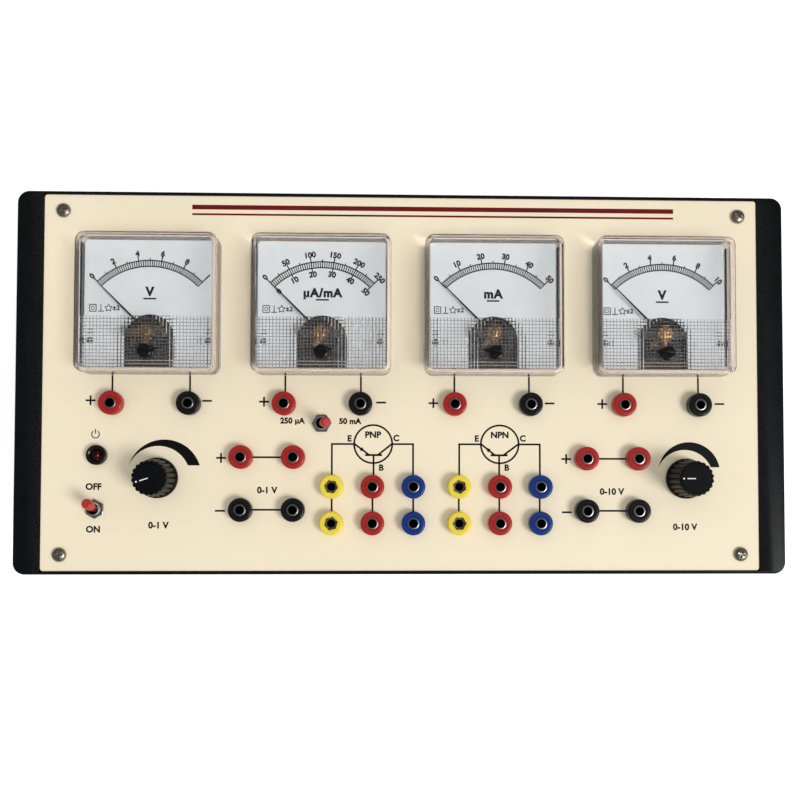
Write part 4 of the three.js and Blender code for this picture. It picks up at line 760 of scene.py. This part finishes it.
skirt = [(9.3, 0, 0), (9.5, 0, 0.2), (9.5, 0, 2.3), (9.38, 0, 2.55), (9.1, 0.25, 2.75), (8.95, 0.75, 3.2)]
grip = [(8.75, 0.85, 5.5), (8.42, 0.85, 10.5), (8.18, 0.8, KNOB_TOP - 0.8), (8.1, 0.75, KNOB_TOP - 0.35),
        (7.9, 0.6, KNOB_TOP - 0.08), (7.5, 0.25, KNOB_TOP)]
groove = KNOB_TOP - 0.16
disc = [(7.1, 0, KNOB_TOP), (6.95, 0, groove), (6.75, 0, groove), (6.6, 0, KNOB_TOP - 0.04)]
knob = loft_mesh([knob_ring(*level) for level in skirt + grip + disc])
knob = cut(knob, turned([(7.4, -1), (7.4, 4.4)], 40))
knob = combine(knob, turned([(3.0, -10.3), (3.0, 5.4)], 32), "UNION")
bm = bmesh.new()
add_prism(bm, rectangle(0.5, 4.4, -0.24, 0.24), KNOB_TOP - 0.1, KNOB_TOP + 0.02)
dot = [(0.42, KNOB_TOP - 0.1), (0.42, KNOB_TOP + 0.01), (0.35, KNOB_TOP + 0.02)]
add_turned(bm, dot, 20, centre=(6.0, 0))
knob_mark = mesh_of(bm)
for control, pointing in (("low_voltage", 198), ("high_voltage", 180)):
    node = control + "_knob"
    seat, body = seat_of(node) + up(KNOB_SEAT), control + "_control"
    add_piece(node + "_moulding", knob, "knob_black", node, seat, pointing, body)
    add_piece(node + "_mark", knob_mark, "pointer_white", None, seat, pointing, body)
print("knob faces:", len(knob.polygons))

# %% [markdown]
# A miniature toggle switch stands in a threaded bush held by a chamfered hexagon nut. The chamfer
# is where a cone meets the hexagon, so the nut is the overlap of the two. The thread is plain
# rings, which look the same at this size. The bat pivots just above the panel and wears a soft red
# cap.

# %% Toggle switches
BAT_LEAN, BAT_PIVOT = -13, 1.0

cone = turned([(4.1, -0.1), (4.65, 0.3), (4.65, 1.5), (4.0, 1.85)], 40)
nut = combine(prism_mesh(hexagon(8.0), 0, 1.8), cone, "INTERSECT")
nut = cut(nut, turned([(2.85, -1), (2.85, 3)], 32))
thread = [(2.98 - 0.14 * (step % 2), 1.0 + 0.225 * step) for step in range(16)]
mouth = [(2.1, -3.0), (2.1, 1.0), (2.5, 4.5), (2.6, 4.6), (2.85, 4.6)]
bush = turned([*mouth, *reversed(thread), (2.98, -3.6), (2.1, -3.6)], 32, True)
switch_case = softened(box_mesh(8, 13, -12.5, -3.02), 0.5, 3)
bm = bmesh.new()
for y in (-4.7, 0, 4.7):
    add_prism(bm, rectangle(-1, 1, y - 0.4, y + 0.4), -16.5, -12.4)
lugs = mesh_of(bm)
neck = [(0, -2.4), (0.8, -2.4), (0.95, -2.2), (0.95, -1.55), *arc(1.8, -58, 50, 9), (0.95, 1.55)]
bat = turned([*neck, (1.0, 3.4), (1.28, 4.9), (1.3, 11.0), (0, 11.2)], 24)
side = [(1.4, 4.8), (1.9, 4.8), (2.0, 4.95), (2.05, 5.4), (2.3, 8.9)]
cap = turned([*side, *arc(0.9, 0, 90, 5, (1.4, 12.1)), (0.9, 13.0), (0, 12.98)], 32)
cap = cut(cap, turned([(1.4, 4), (1.4, 11.3)], 24))
for switch, facing in (("power_switch", 0), ("range_switch", -90)):
    node = switch + "_body"
    seat = seat_of(node)
    for label, mesh, look, turn in (
            ("nut", nut, "switch_chrome", facing + 90), ("bush", bush, "switch_chrome", facing),
            ("case", switch_case, "bezel_black", facing), ("lugs", lugs, "tinned_tag", facing)):
        add_piece(f"{switch}_{label}", mesh, look, node, seat, turn)
    for label, mesh, look in (("lever", bat, "switch_chrome"), ("cap", cap, "cap_red")):
        leaning = mesh.copy()
        leaning.transform(rotation(facing) @ rotation(BAT_LEAN, "X"))
        add_piece(f"{switch}_{label}_piece", leaning, look, f"{switch}_{label}", seat + up(BAT_PIVOT),
                  body=switch + "_toggle")
print("toggle nut faces:", len(nut.polygons))

# %% [markdown]
# The lamp is a black bezel with a dark red lens pushed in from behind. The bezel's face dips
# towards the lens, which is why it looks like a ring in a ring from above. Both are turned
# profiles. The lamp is off in the photograph, so the lens has no glow.

# %% Indicator lamp
lamp_seat = seat_of("lamp_holder")
bezel_face = [(2.75, 2.3), (3.3, 2.75), (3.7, 2.95), (4.0, 3.0), *arc(0.55, 90, 0, 5, (4.15, 2.45))]
bezel = turned([(2.75, -9.0), *bezel_face, (4.7, 0.25), (4.5, 0.0), (3.9, 0.0), (3.9, -9.0)], 48, True)
lens = turned([(0, -4.7), (2.9, -4.7), (2.9, -3.7), (2.5, -3.7), *dome(2.5, 2.5, 1.4), (0, 3.9)], 32)
bm = bmesh.new()
add_nut(bm, 9.3, 0.3, -5.4)
for x in (-1.27, 1.27):
    add_prism(bm, rectangle(x - 0.25, x + 0.25, -0.25, 0.25), -13.7, -4.4)
add_piece("lamp_bezel", bezel, "bezel_black", "lamp_holder", lamp_seat)
add_piece("lamp_lens_dome", lens, "lens_red", "lamp_lens", lamp_seat)
add_piece("lamp_nut_and_leads", mesh_of(bm), "tinned_tag", seat=lamp_seat)
print("lamp at", tuple(round(v, 1) for v in lamp_seat))

# %% [markdown]
# A meter front is a deep clear tray turned over. The lower part of its window has a grid of small
# flat-topped pyramids moulded on the inside, which hides the works behind a sparkle. They are real
# geometry, because only that bends the view as the real ones do. They are left off round the zero
# screw's hole and along a plain strip at the top.

# %% Clear meter cover
COVER, COVER_HEIGHT, CEILING, ZERO_DROP, PIVOT_DROP = 65.0, 13.0, 11.2, 22.9, 13.6
TRAY, COVER_ROUND = 61.0, 0.8
GRID_PITCH, GRID_COLUMNS, GRID_ROWS, GRID_FOOT = 1.58, 38, 16, -30.2
VALLEY, CREST, PYRAMID_INSET, GRID_GAP = CEILING - 0.12, CEILING - 0.36, 0.26, 4.3


def add_square(bm, x, y, inset, level):
    near, far = inset, GRID_PITCH - inset
    corners = ((x + near, y + near), (x + far, y + near), (x + far, y + far), (x + near, y + far))
    return [bm.verts.new((*corner, level)) for corner in corners]


def prism_grid():
    bm = bmesh.new()
    for cell in range(GRID_COLUMNS * GRID_ROWS):
        column, row = divmod(cell, GRID_ROWS)
        x, y = (column - GRID_COLUMNS / 2) * GRID_PITCH, GRID_FOOT + row * GRID_PITCH
        foot = add_square(bm, x, y, 0, VALLEY)
        if row == GRID_ROWS - 1 or hypot(x + GRID_PITCH / 2, y + GRID_PITCH / 2 + ZERO_DROP) < GRID_GAP:
            bm.faces.new(foot)
            continue
        top = add_square(bm, x, y, PYRAMID_INSET, CREST)
        bm.faces.new(top)
        for step in range(4):
            after = (step + 1) % 4
            bm.faces.new((foot[step], foot[after], top[after], top[step]))
    bmesh.ops.remove_doubles(bm, verts=bm.verts, dist=1e-4)
    border = [edge for edge in bm.edges if edge.is_boundary]
    raised = bmesh.ops.extrude_edge_only(bm, edges=border)["geom"]
    verts = [item for item in raised if isinstance(item, bmesh.types.BMVert)]
    bmesh.ops.translate(bm, vec=(0, 0, 0.5), verts=verts)
    bmesh.ops.contextual_create(bm, geom=[edge for edge in bm.edges if edge.is_boundary])
    return mesh_of(bm)


edge = [(COVER_ROUND - x, COVER_HEIGHT - COVER_ROUND + z) for x, z in arc(COVER_ROUND, 0, 90, 5)]
outer = [rounded_ring(COVER - 2 * inset, COVER - 2 * inset, 4.2 - inset * 0.6, z, 8)
         for inset, z in [(0.25, 0.06), (0.0, 0.31), *edge]]
inner = [rounded_ring(TRAY - 2 * inset, TRAY - 2 * inset, 2.2, z, 6)
         for inset, z in ((0, -1), (0, CEILING - 0.4), (0.4, CEILING))]
hole = turned([(2.5, 9), (2.5, 15)], 32)
hole.transform(Matrix.Translation((0, -ZERO_DROP * MM, 0)))
cover = cut(combine(cut(loft_mesh(outer), loft_mesh(inner)), prism_grid(), "UNION"), hole)
for name, seat in meter_seats.items():
    add_piece(name + "_front", cover, "meter_clear", name + "_cover", seat, smooth=25)
print("cover faces:", len(cover.polygons))

# %% [markdown]
# The dial plate is white painted metal with an arch cut out of its foot, where the works show. All
# print is thin raised ink. Flat shapes stay sharp close up, as a painted picture would not. Letters
# start as text objects and become meshes, so that they can join the rest of the print.

# %% Dial plate and lettering tools
DIAL, DIAL_CORNER, DIAL_BACK, DIAL_LEVEL, ARCH_WIDTH, ARCH_HEIGHT = 60.2, 2.2, 3.0, 3.8, 23.0, 25.5
INK, INK_THICK, CAP_SHARE = PANEL_TOP + 0.005, 0.04, 0.73


def dial_outline():
    half, radius, reach = DIAL / 2, ARCH_WIDTH / 2, DIAL / 2 - DIAL_CORNER
    outline = [(-radius, -half), *arc(radius, 180, 0, 32, (0, ARCH_HEIGHT - half - radius)), (radius, -half)]
    for start, x, y in ((270, reach, -reach), (0, reach, reach), (90, -reach, reach), (180, -reach, -reach)):
        outline += arc(DIAL_CORNER, start, start + 90, 5, (x, y))
    return outline


def add_ink(bm, outline, level=INK):
    add_prism(bm, outline, level, level + INK_THICK)


def add_bar(bm, first, second, width, level=INK):
    first, second = Vector(first), Vector(second)
    side = (second - first).normalized().orthogonal() * width / 2
    add_ink(bm, [first + side, first - side, second - side, second + side], level)


def add_letters(bm, text, cap_height, place, level=INK, turn=0.0, weight=0.17, spread=1.03):
    curve = bpy.data.curves.new("letters", "FONT")
    curve.body, curve.size, curve.offset = text, cap_height / CAP_SHARE, weight
    curve.space_character = spread
    curve.align_x, curve.align_y = "CENTER", "CENTER"
    curve.extrude, curve.resolution_u = INK_THICK / 2, 6
    holder = bpy.data.objects.new("letters", curve)
    scene.collection.objects.link(holder)
    mesh = bpy.data.meshes.new_from_object(holder.evaluated_get(bpy.context.evaluated_depsgraph_get()))
    bpy.data.objects.remove(holder)
    mesh.transform(Matrix.Translation((*place, level + INK_THICK / 2)) @ rotation(turn))
    bm.from_mesh(mesh)


dial_plate = softened(prism_mesh(dial_outline(), DIAL_BACK, DIAL_LEVEL), 0.08, 1, 60)
print("dial faces:", len(dial_plate.polygons))

# %% [markdown]
# Each meter's scale is a ladder of fifty parts between two arcs, with plain numbers that face the
# pivot, the unit letters and three standard marks for a moving-coil meter. The meters differ only
# in unit and numbers, so a table holds those and one function prints them all.

# %% Dial scales
PIVOT = (0.0, -PIVOT_DROP)
SCALE_OUTER, SCALE_INNER, SCALE_LINE, HALF_SWEEP = 34.2, 31.4, 0.54, 45.0
NUMBER_RADIUS, INNER_NUMBER_RADIUS, NUMBER_HEIGHT = 37.6, 28.4, 2.6
DIAL_FACES = {
    "base_voltmeter": ("V", 4.3, [0, 2, 4, 6, 8, 1], []),
    "base_ammeter": ("µA/mA", 4.1, range(0, 251, 50), range(0, 51, 10)),
    "collector_ammeter": ("mA", 4.2, range(0, 51, 10), []),
    "collector_voltmeter": ("V", 4.3, range(0, 11, 2), []),
}


def on_scale(radius, share):
    angle = radians(90 + HALF_SWEEP - 2 * HALF_SWEEP * share)
    return Vector((PIVOT[0] + radius * cos(angle), PIVOT[1] + radius * sin(angle)))


def add_scale(bm, numbers, inner_numbers):
    for radius in (SCALE_OUTER, SCALE_INNER):
        outside = arc(radius + SCALE_LINE / 2, 45, 135, 60, PIVOT)
        add_ink(bm, outside + arc(radius - SCALE_LINE / 2, 135, 45, 60, PIVOT), DIAL_LEVEL)
    for division in range(51):
        reach = 2.5 if division % 10 == 0 else 1.1 if division % 5 == 0 else 0.0
        inward = 2.0 if inner_numbers and division % 10 == 0 else 0.0
        ends = on_scale(SCALE_INNER - inward, division / 50), on_scale(SCALE_OUTER + reach, division / 50)
        add_bar(bm, *ends, SCALE_LINE if division % 10 == 0 else 0.45, DIAL_LEVEL)
    for radius, labels in ((NUMBER_RADIUS, numbers), (INNER_NUMBER_RADIUS, inner_numbers)):
        for index, label in enumerate(labels):
            share = index / (len(labels) - 1)
            turn = HALF_SWEEP - 2 * HALF_SWEEP * share
            add_letters(bm, str(label), NUMBER_HEIGHT, on_scale(radius, share), DIAL_LEVEL, turn, 0.18)


def add_outline(bm, points, line):
    for index, point in enumerate(points):
        add_bar(bm, point, points[(index + 1) % len(points)], line, DIAL_LEVEL)


def add_class_marks(bm, x, y):
    add_outline(bm, rectangle(x - 1.5, x + 1.5, y - 1.6, y + 1.6), 0.42)
    add_outline(bm, rectangle(x - 0.6, x + 0.6, y - 0.7, y + 0.7), 0.3)
    add_bar(bm, (x + 2.3, y - 1.5), (x + 5.1, y - 1.5), 0.42, DIAL_LEVEL)
    add_bar(bm, (x + 3.7, y - 1.5), (x + 3.7, y + 1.7), 0.42, DIAL_LEVEL)
    middle = (x + 7.2, y)
    points, notches = arc(1.85, 90, 378, 4, middle), arc(0.85, 126, 414, 4, middle)
    add_outline(bm, [corner for pair in zip(points, notches) for corner in pair], 0.36)
    add_letters(bm, "±2", 2.2, (x + 10.7, y), DIAL_LEVEL, weight=0.1)


def dial_print(unit, height, numbers, inner_numbers):
    bm = bmesh.new()
    add_scale(bm, numbers, inner_numbers)
    add_letters(bm, unit, height, (0, 5.8), DIAL_LEVEL, weight=0.29, spread=1.13)
    add_bar(bm, (-3, 2.7), (3, 2.7), 0.75, DIAL_LEVEL)
    add_class_marks(bm, -26.1, -1.8)
    return mesh_of(bm)


for name, seat in meter_seats.items():
    add_piece(name + "_dial_plate", dial_plate, "meter_dial", name + "_dial", seat)
    add_piece(name + "_dial_print", dial_print(*DIAL_FACES[name]), "dial_ink", seat=seat)
print("dials:", len(METERS))

# %% [markdown]
# The pointer turns about the pivot with its coil and spring. The needle is a thin tapering blade,
# the coil is copper wire wound round the fixed core, and the spring is a flat spiral. All are drawn
# pointing up the dial, which is easier to write, and turned 45 degrees to the left when they are
# placed. The zero screw is a black slotted head on a collar.

# %% Pointers, coils and zero screws
COIL_TURNS, COIL_MIDDLE, COIL_X, COIL_Z, COIL_CORNER, WIRE_RADIUS = 6, -5.1, 6.303, 3.999, 0.3, 0.2
SPRING_STEPS, SPRING_TURNS, REST_TURN = 150, 4, 45

bm = bmesh.new()
blade = ((0.5, -6.5), (0.52, 0.0), (0.42, 12.0), (0.3, 24.0), (0.16, 33.4))
add_skin(bm, [[Vector((side * half, y, z)) for side, z in ((1, 5.72), (1, 6.15), (-1, 6.15), (-1, 5.72))]
              for half, y in blade])
add_turned(bm, [(1.1, 5.3), (1.1, 6.2)], 20, centre=(0, -6.5))
add_turned(bm, [(1.7, 5.25), (1.85, 5.4), (1.85, 6.5), (1.6, 6.7)], 24)
add_turned(bm, [(0.5, -0.6), (0.5, 7.1), (0.2, 7.3)], 12)
needle = mesh_of(bm)

bm = bmesh.new()
path = rounded_rectangle(COIL_X, COIL_Z, COIL_CORNER, 3)
for turn in range(COIL_TURNS):
    y = -1.0 + turn * 0.4
    rings = []
    for index, (x, z) in enumerate(path):
        along = (Vector(path[(index + 1) % len(path)]) - Vector(path[index - 1])).normalized()
        rings.append([Vector((x + along.y * out, y + rise, COIL_MIDDLE + z - along.x * out))
                      for out, rise in arc(WIRE_RADIUS, 0, 300, 5)])
    add_skin(bm, rings, True)
coil = mesh_of(bm)

rings = []
for step in range(SPRING_STEPS + 1):
    share = step / SPRING_STEPS
    across = Vector((cos(share * SPRING_TURNS * 2 * pi), sin(share * SPRING_TURNS * 2 * pi), 0))
    radius = 1.0 + 2.1 * share
    rings.append([across * (radius + dr) + up(z)
                  for dr, z in ((-0.06, 6.85), (0.06, 6.85), (0.06, 7.15), (-0.06, 7.15))])
spring = loft_mesh(rings)

collar = [(0, 10.1), (3.0, 10.1), (2.2, 10.9), (2.2, 13.3), (3.1, 13.3)]
head = turned([*collar, (3.25, 13.45), (3.25, 14.2), (3.0, 14.42), (2.6, 14.5), (0, 14.5)], 40)
zero_screw = softened(cut(head, box_mesh(9, 0.9, 13.8, 15)), 0.06)
moving_parts = (
    ("needle", needle, "meter_needle"), ("coil", coil, "coil_copper"), ("spring", spring, "spring_bronze"))
for name, seat in meter_seats.items():
    pivot = seat - Vector((0, PIVOT_DROP, 0))
    for label, mesh, look in moving_parts:
        add_piece(f"{name}_{label}", mesh, look, name + "_pointer", pivot, REST_TURN, name + "_movement")
    add_piece(name + "_zero_slot", zero_screw, "bezel_black", name + "_zero_screw",
              seat - Vector((0, ZERO_DROP, 0)), body=name + "_zero")
print("movements:", len(METERS))

# %% [markdown]
# Two small screws hold the dial plate. A black strip at each of its sides is painted shade in
# solid form: it stands for the dark line of shade along that edge, and the right one is lower. On
# the fixed bridge are the bearing's bronze screw and, round it, the copper-coloured adjuster that
# the zero screw swings. They are trim that the solids leave out, so they replace none and ride with
# the case.

# %% Dial screws, shade strips and what sits on the bridge
SHADE_STRIP_NEAR, SHADE_STRIP_FAR, SHADE_STRIP_END = 30.15, 30.45, 28.2

# Painted shade as solid strips: black along the dial's left and right edges.
bm = bmesh.new()
for side, top in ((-1, 7.6), (1, 4.9)):
    add_prism(bm, rectangle(side * SHADE_STRIP_NEAR, side * SHADE_STRIP_FAR, -SHADE_STRIP_END, SHADE_STRIP_END), DIAL_BACK, top)
shade_strips = softened(mesh_of(bm), 0.06, 1, 60)
bm = bmesh.new()
add_turned(bm, [(1.75, 8.54), (3.5, 8.54), (3.6, 8.62), (3.6, 8.8), (3.5, 8.88), (1.75, 8.88)], 40, True)
add_prism(bm, rectangle(-0.7, 0.7, -6.1, -3.3), 8.56, 8.86)
adjuster = mesh_of(bm)
dial_screw = turned([(0, 3.5), (1.6, 3.5), *dome(1.6, 0.8, 3.85, 15), (0, 4.65)], 28)
dial_screw = cross_cut(dial_screw, 2.2, 0.4, 4.25, 6)
jewel = turned([(0, 8.3), (1.7, 8.3), (1.7, 8.8), (1.5, 8.95), (0.7, 8.95), (0.5, 8.75), (0, 8.7)], 28)
for name, seat in meter_seats.items():
    for side, x in (("left", -27.1), ("right", 27.1)):
        place = seat + Vector((x, -17.0, 0))
        add_piece(f"{name}_dial_screw_{side}", dial_screw, "dark_steel", seat=place)
    add_piece(name + "_dial_rails", shade_strips, "bezel_black", seat=seat)
    pivot = seat - Vector((0, PIVOT_DROP, 0))
    for label, mesh, look in (("jewel", jewel, "spring_bronze"), ("adjuster", adjuster, "coil_copper")):
        add_piece(f"{name}_{label}", mesh, look, seat=pivot)
print("dial screws:", 2 * len(METERS))

# %% [markdown]
# The panel's print tells its user what to join to what: stub lines from the meters to their
# sockets, lines between joined sockets, plus and minus, the two transistor symbols and the swelling
# arcs round the knobs. It is ink on the laminate, so it is a thin closed mesh that lies on the
# panel. Lines between sockets start from the sockets' own places, so that they always meet.

# %% Panel print: lines, signs and symbols
LINE, SIGN_REACH, SYMBOL_RADIUS, BASE_BAR_Y = 0.85, 2.3, 9.0, -34.2
STUBS = (-137.1, -100.8, -56.0, -20.3, 24.1, 59.7, 104.8, 141.0)
PLUSES = ((-147.2, -8.75), (-66.0, -9.1), (14.1, -9.5), (94.8, -9.6), (-86.0, -35.7), (77.4, -35.9))
MINUSES = ((-92.8, -8.8), (-10.7, -9.3), (69.6, -9.4), (151.3, -9.4), (-86.3, -60.6), (77.6, -61.2))


def add_path(bm, *points):
    for first, second in zip(points, points[1:]):
        add_bar(bm, first, second, LINE)


def add_crescent(bm, inner_centre, inner_radius, outer_centre, outer_radius, cut_level):
    def first_angle(centre, radius):
        rise = cut_level - centre[1]
        return degrees(atan2(rise, sqrt(radius ** 2 - rise ** 2)))
    outer, inner = first_angle(outer_centre, outer_radius), first_angle(inner_centre, inner_radius)
    outline = arc(outer_radius, outer, 180 - outer, 60, outer_centre)
    add_ink(bm, outline + arc(inner_radius, 179.4 - inner, inner, 60, inner_centre))


def add_arrow(bm, tail, tip):
    along = (tip - tail).normalized()
    head, across = tail.lerp(tip, 0.72), Vector((-along.y, along.x))
    outline = [head, head - along * 2.6 + across, head - along * 2.6 - across]
    add_prism(bm, outline, INK, INK + 0.045)


def add_transistor(bm, kind, centre, leads, left, right):
    x, y = centre
    middle = (left + right) / 2
    sockets = [max(pair_places[f"{kind}_{leg}_pair"], key=lambda place: place.y) for leg in LEGS]
    ends = [socket.y + SOCKET_RADIUS for socket in sockets]
    outside = arc(SYMBOL_RADIUS + LINE / 2, 0, 360, 72, centre)[:-1]
    inside = arc(SYMBOL_RADIUS - LINE / 2, 0, 360, 72, centre)[:-1]
    top = INK + INK_THICK
    add_skin(bm, [level_ring(outside, INK), level_ring(outside, top), level_ring(inside, top),
                  level_ring(inside, INK)], True)
    add_bar(bm, (left, BASE_BAR_Y), (right, BASE_BAR_Y), 0.95)
    add_path(bm, (middle, BASE_BAR_Y - 0.3), (middle, ends[1]))
    for side, lead, end in ((-1, leads[0], ends[0]), (1, leads[1], ends[2])):
        rim, foot = Vector((x + side * 8.75, y)), Vector((middle + side * 2.0, BASE_BAR_Y))
        add_path(bm, (x + side * 9.2, y), (lead, y))
        add_path(bm, (lead, y + LINE / 2), (lead, end))
        add_path(bm, rim, foot)
        if side < 0:
            add_arrow(bm, *((rim, foot) if kind == "pnp" else (foot, rim)))


bm = bmesh.new()
for x in STUBS:
    add_path(bm, (x, 3.3), (x, -4.7))
for x, y in PLUSES + MINUSES:
    add_path(bm, (x - SIGN_REACH, y), (x + SIGN_REACH, y))
for x, y in PLUSES:
    add_path(bm, (x, y - SIGN_REACH), (x, y - 0.42))
    add_path(bm, (x, y + 0.42), (x, y + SIGN_REACH))
for ends in pair_places.values():
    along = (ends[1] - ends[0]).normalized() * (SOCKET_RADIUS - 0.3)
    add_path(bm, (ends[0] + along).xy, (ends[1] - along).xy)
add_crescent(bm, (-115.3, -45.15), 15.0, (-112.5, -44.5), 17.4, -39.25)
add_crescent(bm, (134.3, -45.15), 13.7, (136.4, -42.7), 14.95, -39.7)
add_transistor(bm, "pnp", (-14.4, -29.0), (-33.9, 4.5), -18.2, -10.2)
add_transistor(bm, "npn", (45.7, -29.0), (26.4, 64.8), 41.4, 49.4)
add_piece("panel_line_print", mesh_of(bm), "ink_black")
print("line print made")

# %% [markdown]
# Ranges, letters and the power symbol are in the same black ink, and a dark red double rule runs
# along the top. A table holds each text with its place and height, so that a change is made in one
# line.

# %% Panel print: figures and marks
RULE_LEFT, RULE_RIGHT, POWER_SYMBOL = -100.5, 129.6, (-144.7, -24.7)
FIGURES = (
    ("OFF", (-145.35, -49.45), 3.0), ("ON", (-145.3, -69.4), 3.0), ("250 µA", (-52.6, -18.15), 2.7),
    ("50 mA", (-25.4, -18.3), 2.7), ("0-1 V", (-64.3, -51.0), 3.0), ("0-10 V", (99.2, -51.5), 3.0),
    ("0-1 V", (-115.0, -67.5), 3.0), ("0-10 V", (134.2, -68.3), 3.0), ("PNP", (-14.5, -24.7), 3.0),
    ("NPN", (45.7, -24.7), 3.0), ("E", (-25.6, -26.5), 2.9), ("C", (-3.5, -26.3), 2.9),
    ("B", (-10.6, -40.3), 2.9), ("E", (34.7, -26.4), 2.9), ("C", (56.7, -26.3), 2.9),
    ("B", (49.0, -40.2), 2.9))

bm = bmesh.new()
for text, place, height in FIGURES:
    add_letters(bm, text, height, place)
x, y = POWER_SYMBOL
add_ink(bm, arc(2.0, 125, 415, 30, (x, y)) + arc(1.55, 415, 125, 30, (x, y)))
add_bar(bm, (x, y + 0.3), (x, y + 2.5), 0.45)
add_piece("panel_letter_print", mesh_of(bm), "ink_black")
bm = bmesh.new()
for y, width in ((83.4, 2.2), (80.0, 0.9)):
    add_bar(bm, (RULE_LEFT, y), (RULE_RIGHT, y), width)
add_piece("panel_double_rule", mesh_of(bm), "ink_dark_red")
print("figures made")

# %% [markdown]
# The picture is lit softly from the lower right, so that each knob and meter throws a faint shadow
# up and to the left. One broad lamp does that, and a pale sky fills the rest. In a mirror surface
# the sky is dim, as the ceiling over a bench is, which keeps black pieces black. The floor stays
# white to the camera, but keeps the shadow under the case.

# %% Floor, sky and lamp


def straight_view(tree):
    path = add_node(tree, "LightPath").outputs
    turns = maths(tree, "ADD", path["Diffuse Depth"], path["Glossy Depth"])
    through = maths(tree, "MULTIPLY", path["Is Transmission Ray"], maths(tree, "LESS_THAN", turns, 0.5))
    return path, maths(tree, "MAXIMUM", path["Is Camera Ray"], through)


def add_floor(glow):
    bm = bmesh.new()
    bmesh.ops.create_grid(bm, x_segments=2, y_segments=2, size=6.0)
    mesh = bpy.data.meshes.new("floor")
    bm.to_mesh(mesh)
    bm.free()
    tree, shader = new_material("floor_white", {
        "Roughness": 0.9, "Base Color": (0.82, 0.82, 0.82, 1.0), "Specular IOR Level": 0.0,
        "Emission Color": (1.0, 1.0, 1.0, 1.0)})
    seen = straight_view(tree)[1]
    tree.links.new(maths(tree, "MULTIPLY", seen, glow), shader.inputs["Emission Strength"])
    floor = bpy.data.objects.new("floor", mesh)
    mesh.materials.append(LOOKS["floor_white"])
    scene.collection.objects.link(floor)


def add_sky(strength, mirrored):
    scene.world = bpy.data.worlds.new("studio")
    scene.world.use_nodes = True
    tree = scene.world.node_tree
    path, seen = straight_view(tree)
    dim = ramp(tree, path["Is Glossy Ray"], 0.0, 1.0, strength, mirrored)
    sky = tree.nodes["Background"]
    sky.inputs["Color"].default_value = (1.0, 1.0, 1.0, 1.0)
    tree.links.new(ramp(tree, seen, 0.0, 1.0, dim, 1.0), sky.inputs["Strength"])


def add_lamp(name, place, size, watts):
    data = bpy.data.lights.new(name, "AREA")
    data.shape, data.size, data.energy = "DISK", size, watts
    lamp = bpy.data.objects.new(name, data)
    lamp.matrix_world = Matrix.Translation(place) @ (-place).to_track_quat("-Z", "Y").to_matrix().to_4x4()
    scene.collection.objects.link(lamp)


add_floor(glow=0.62)
add_sky(strength=0.62, mirrored=0.13)
add_lamp("key_lamp", Vector((4.1, -2.15, 5.5)), size=2.8, watts=282)
print("stage ready")
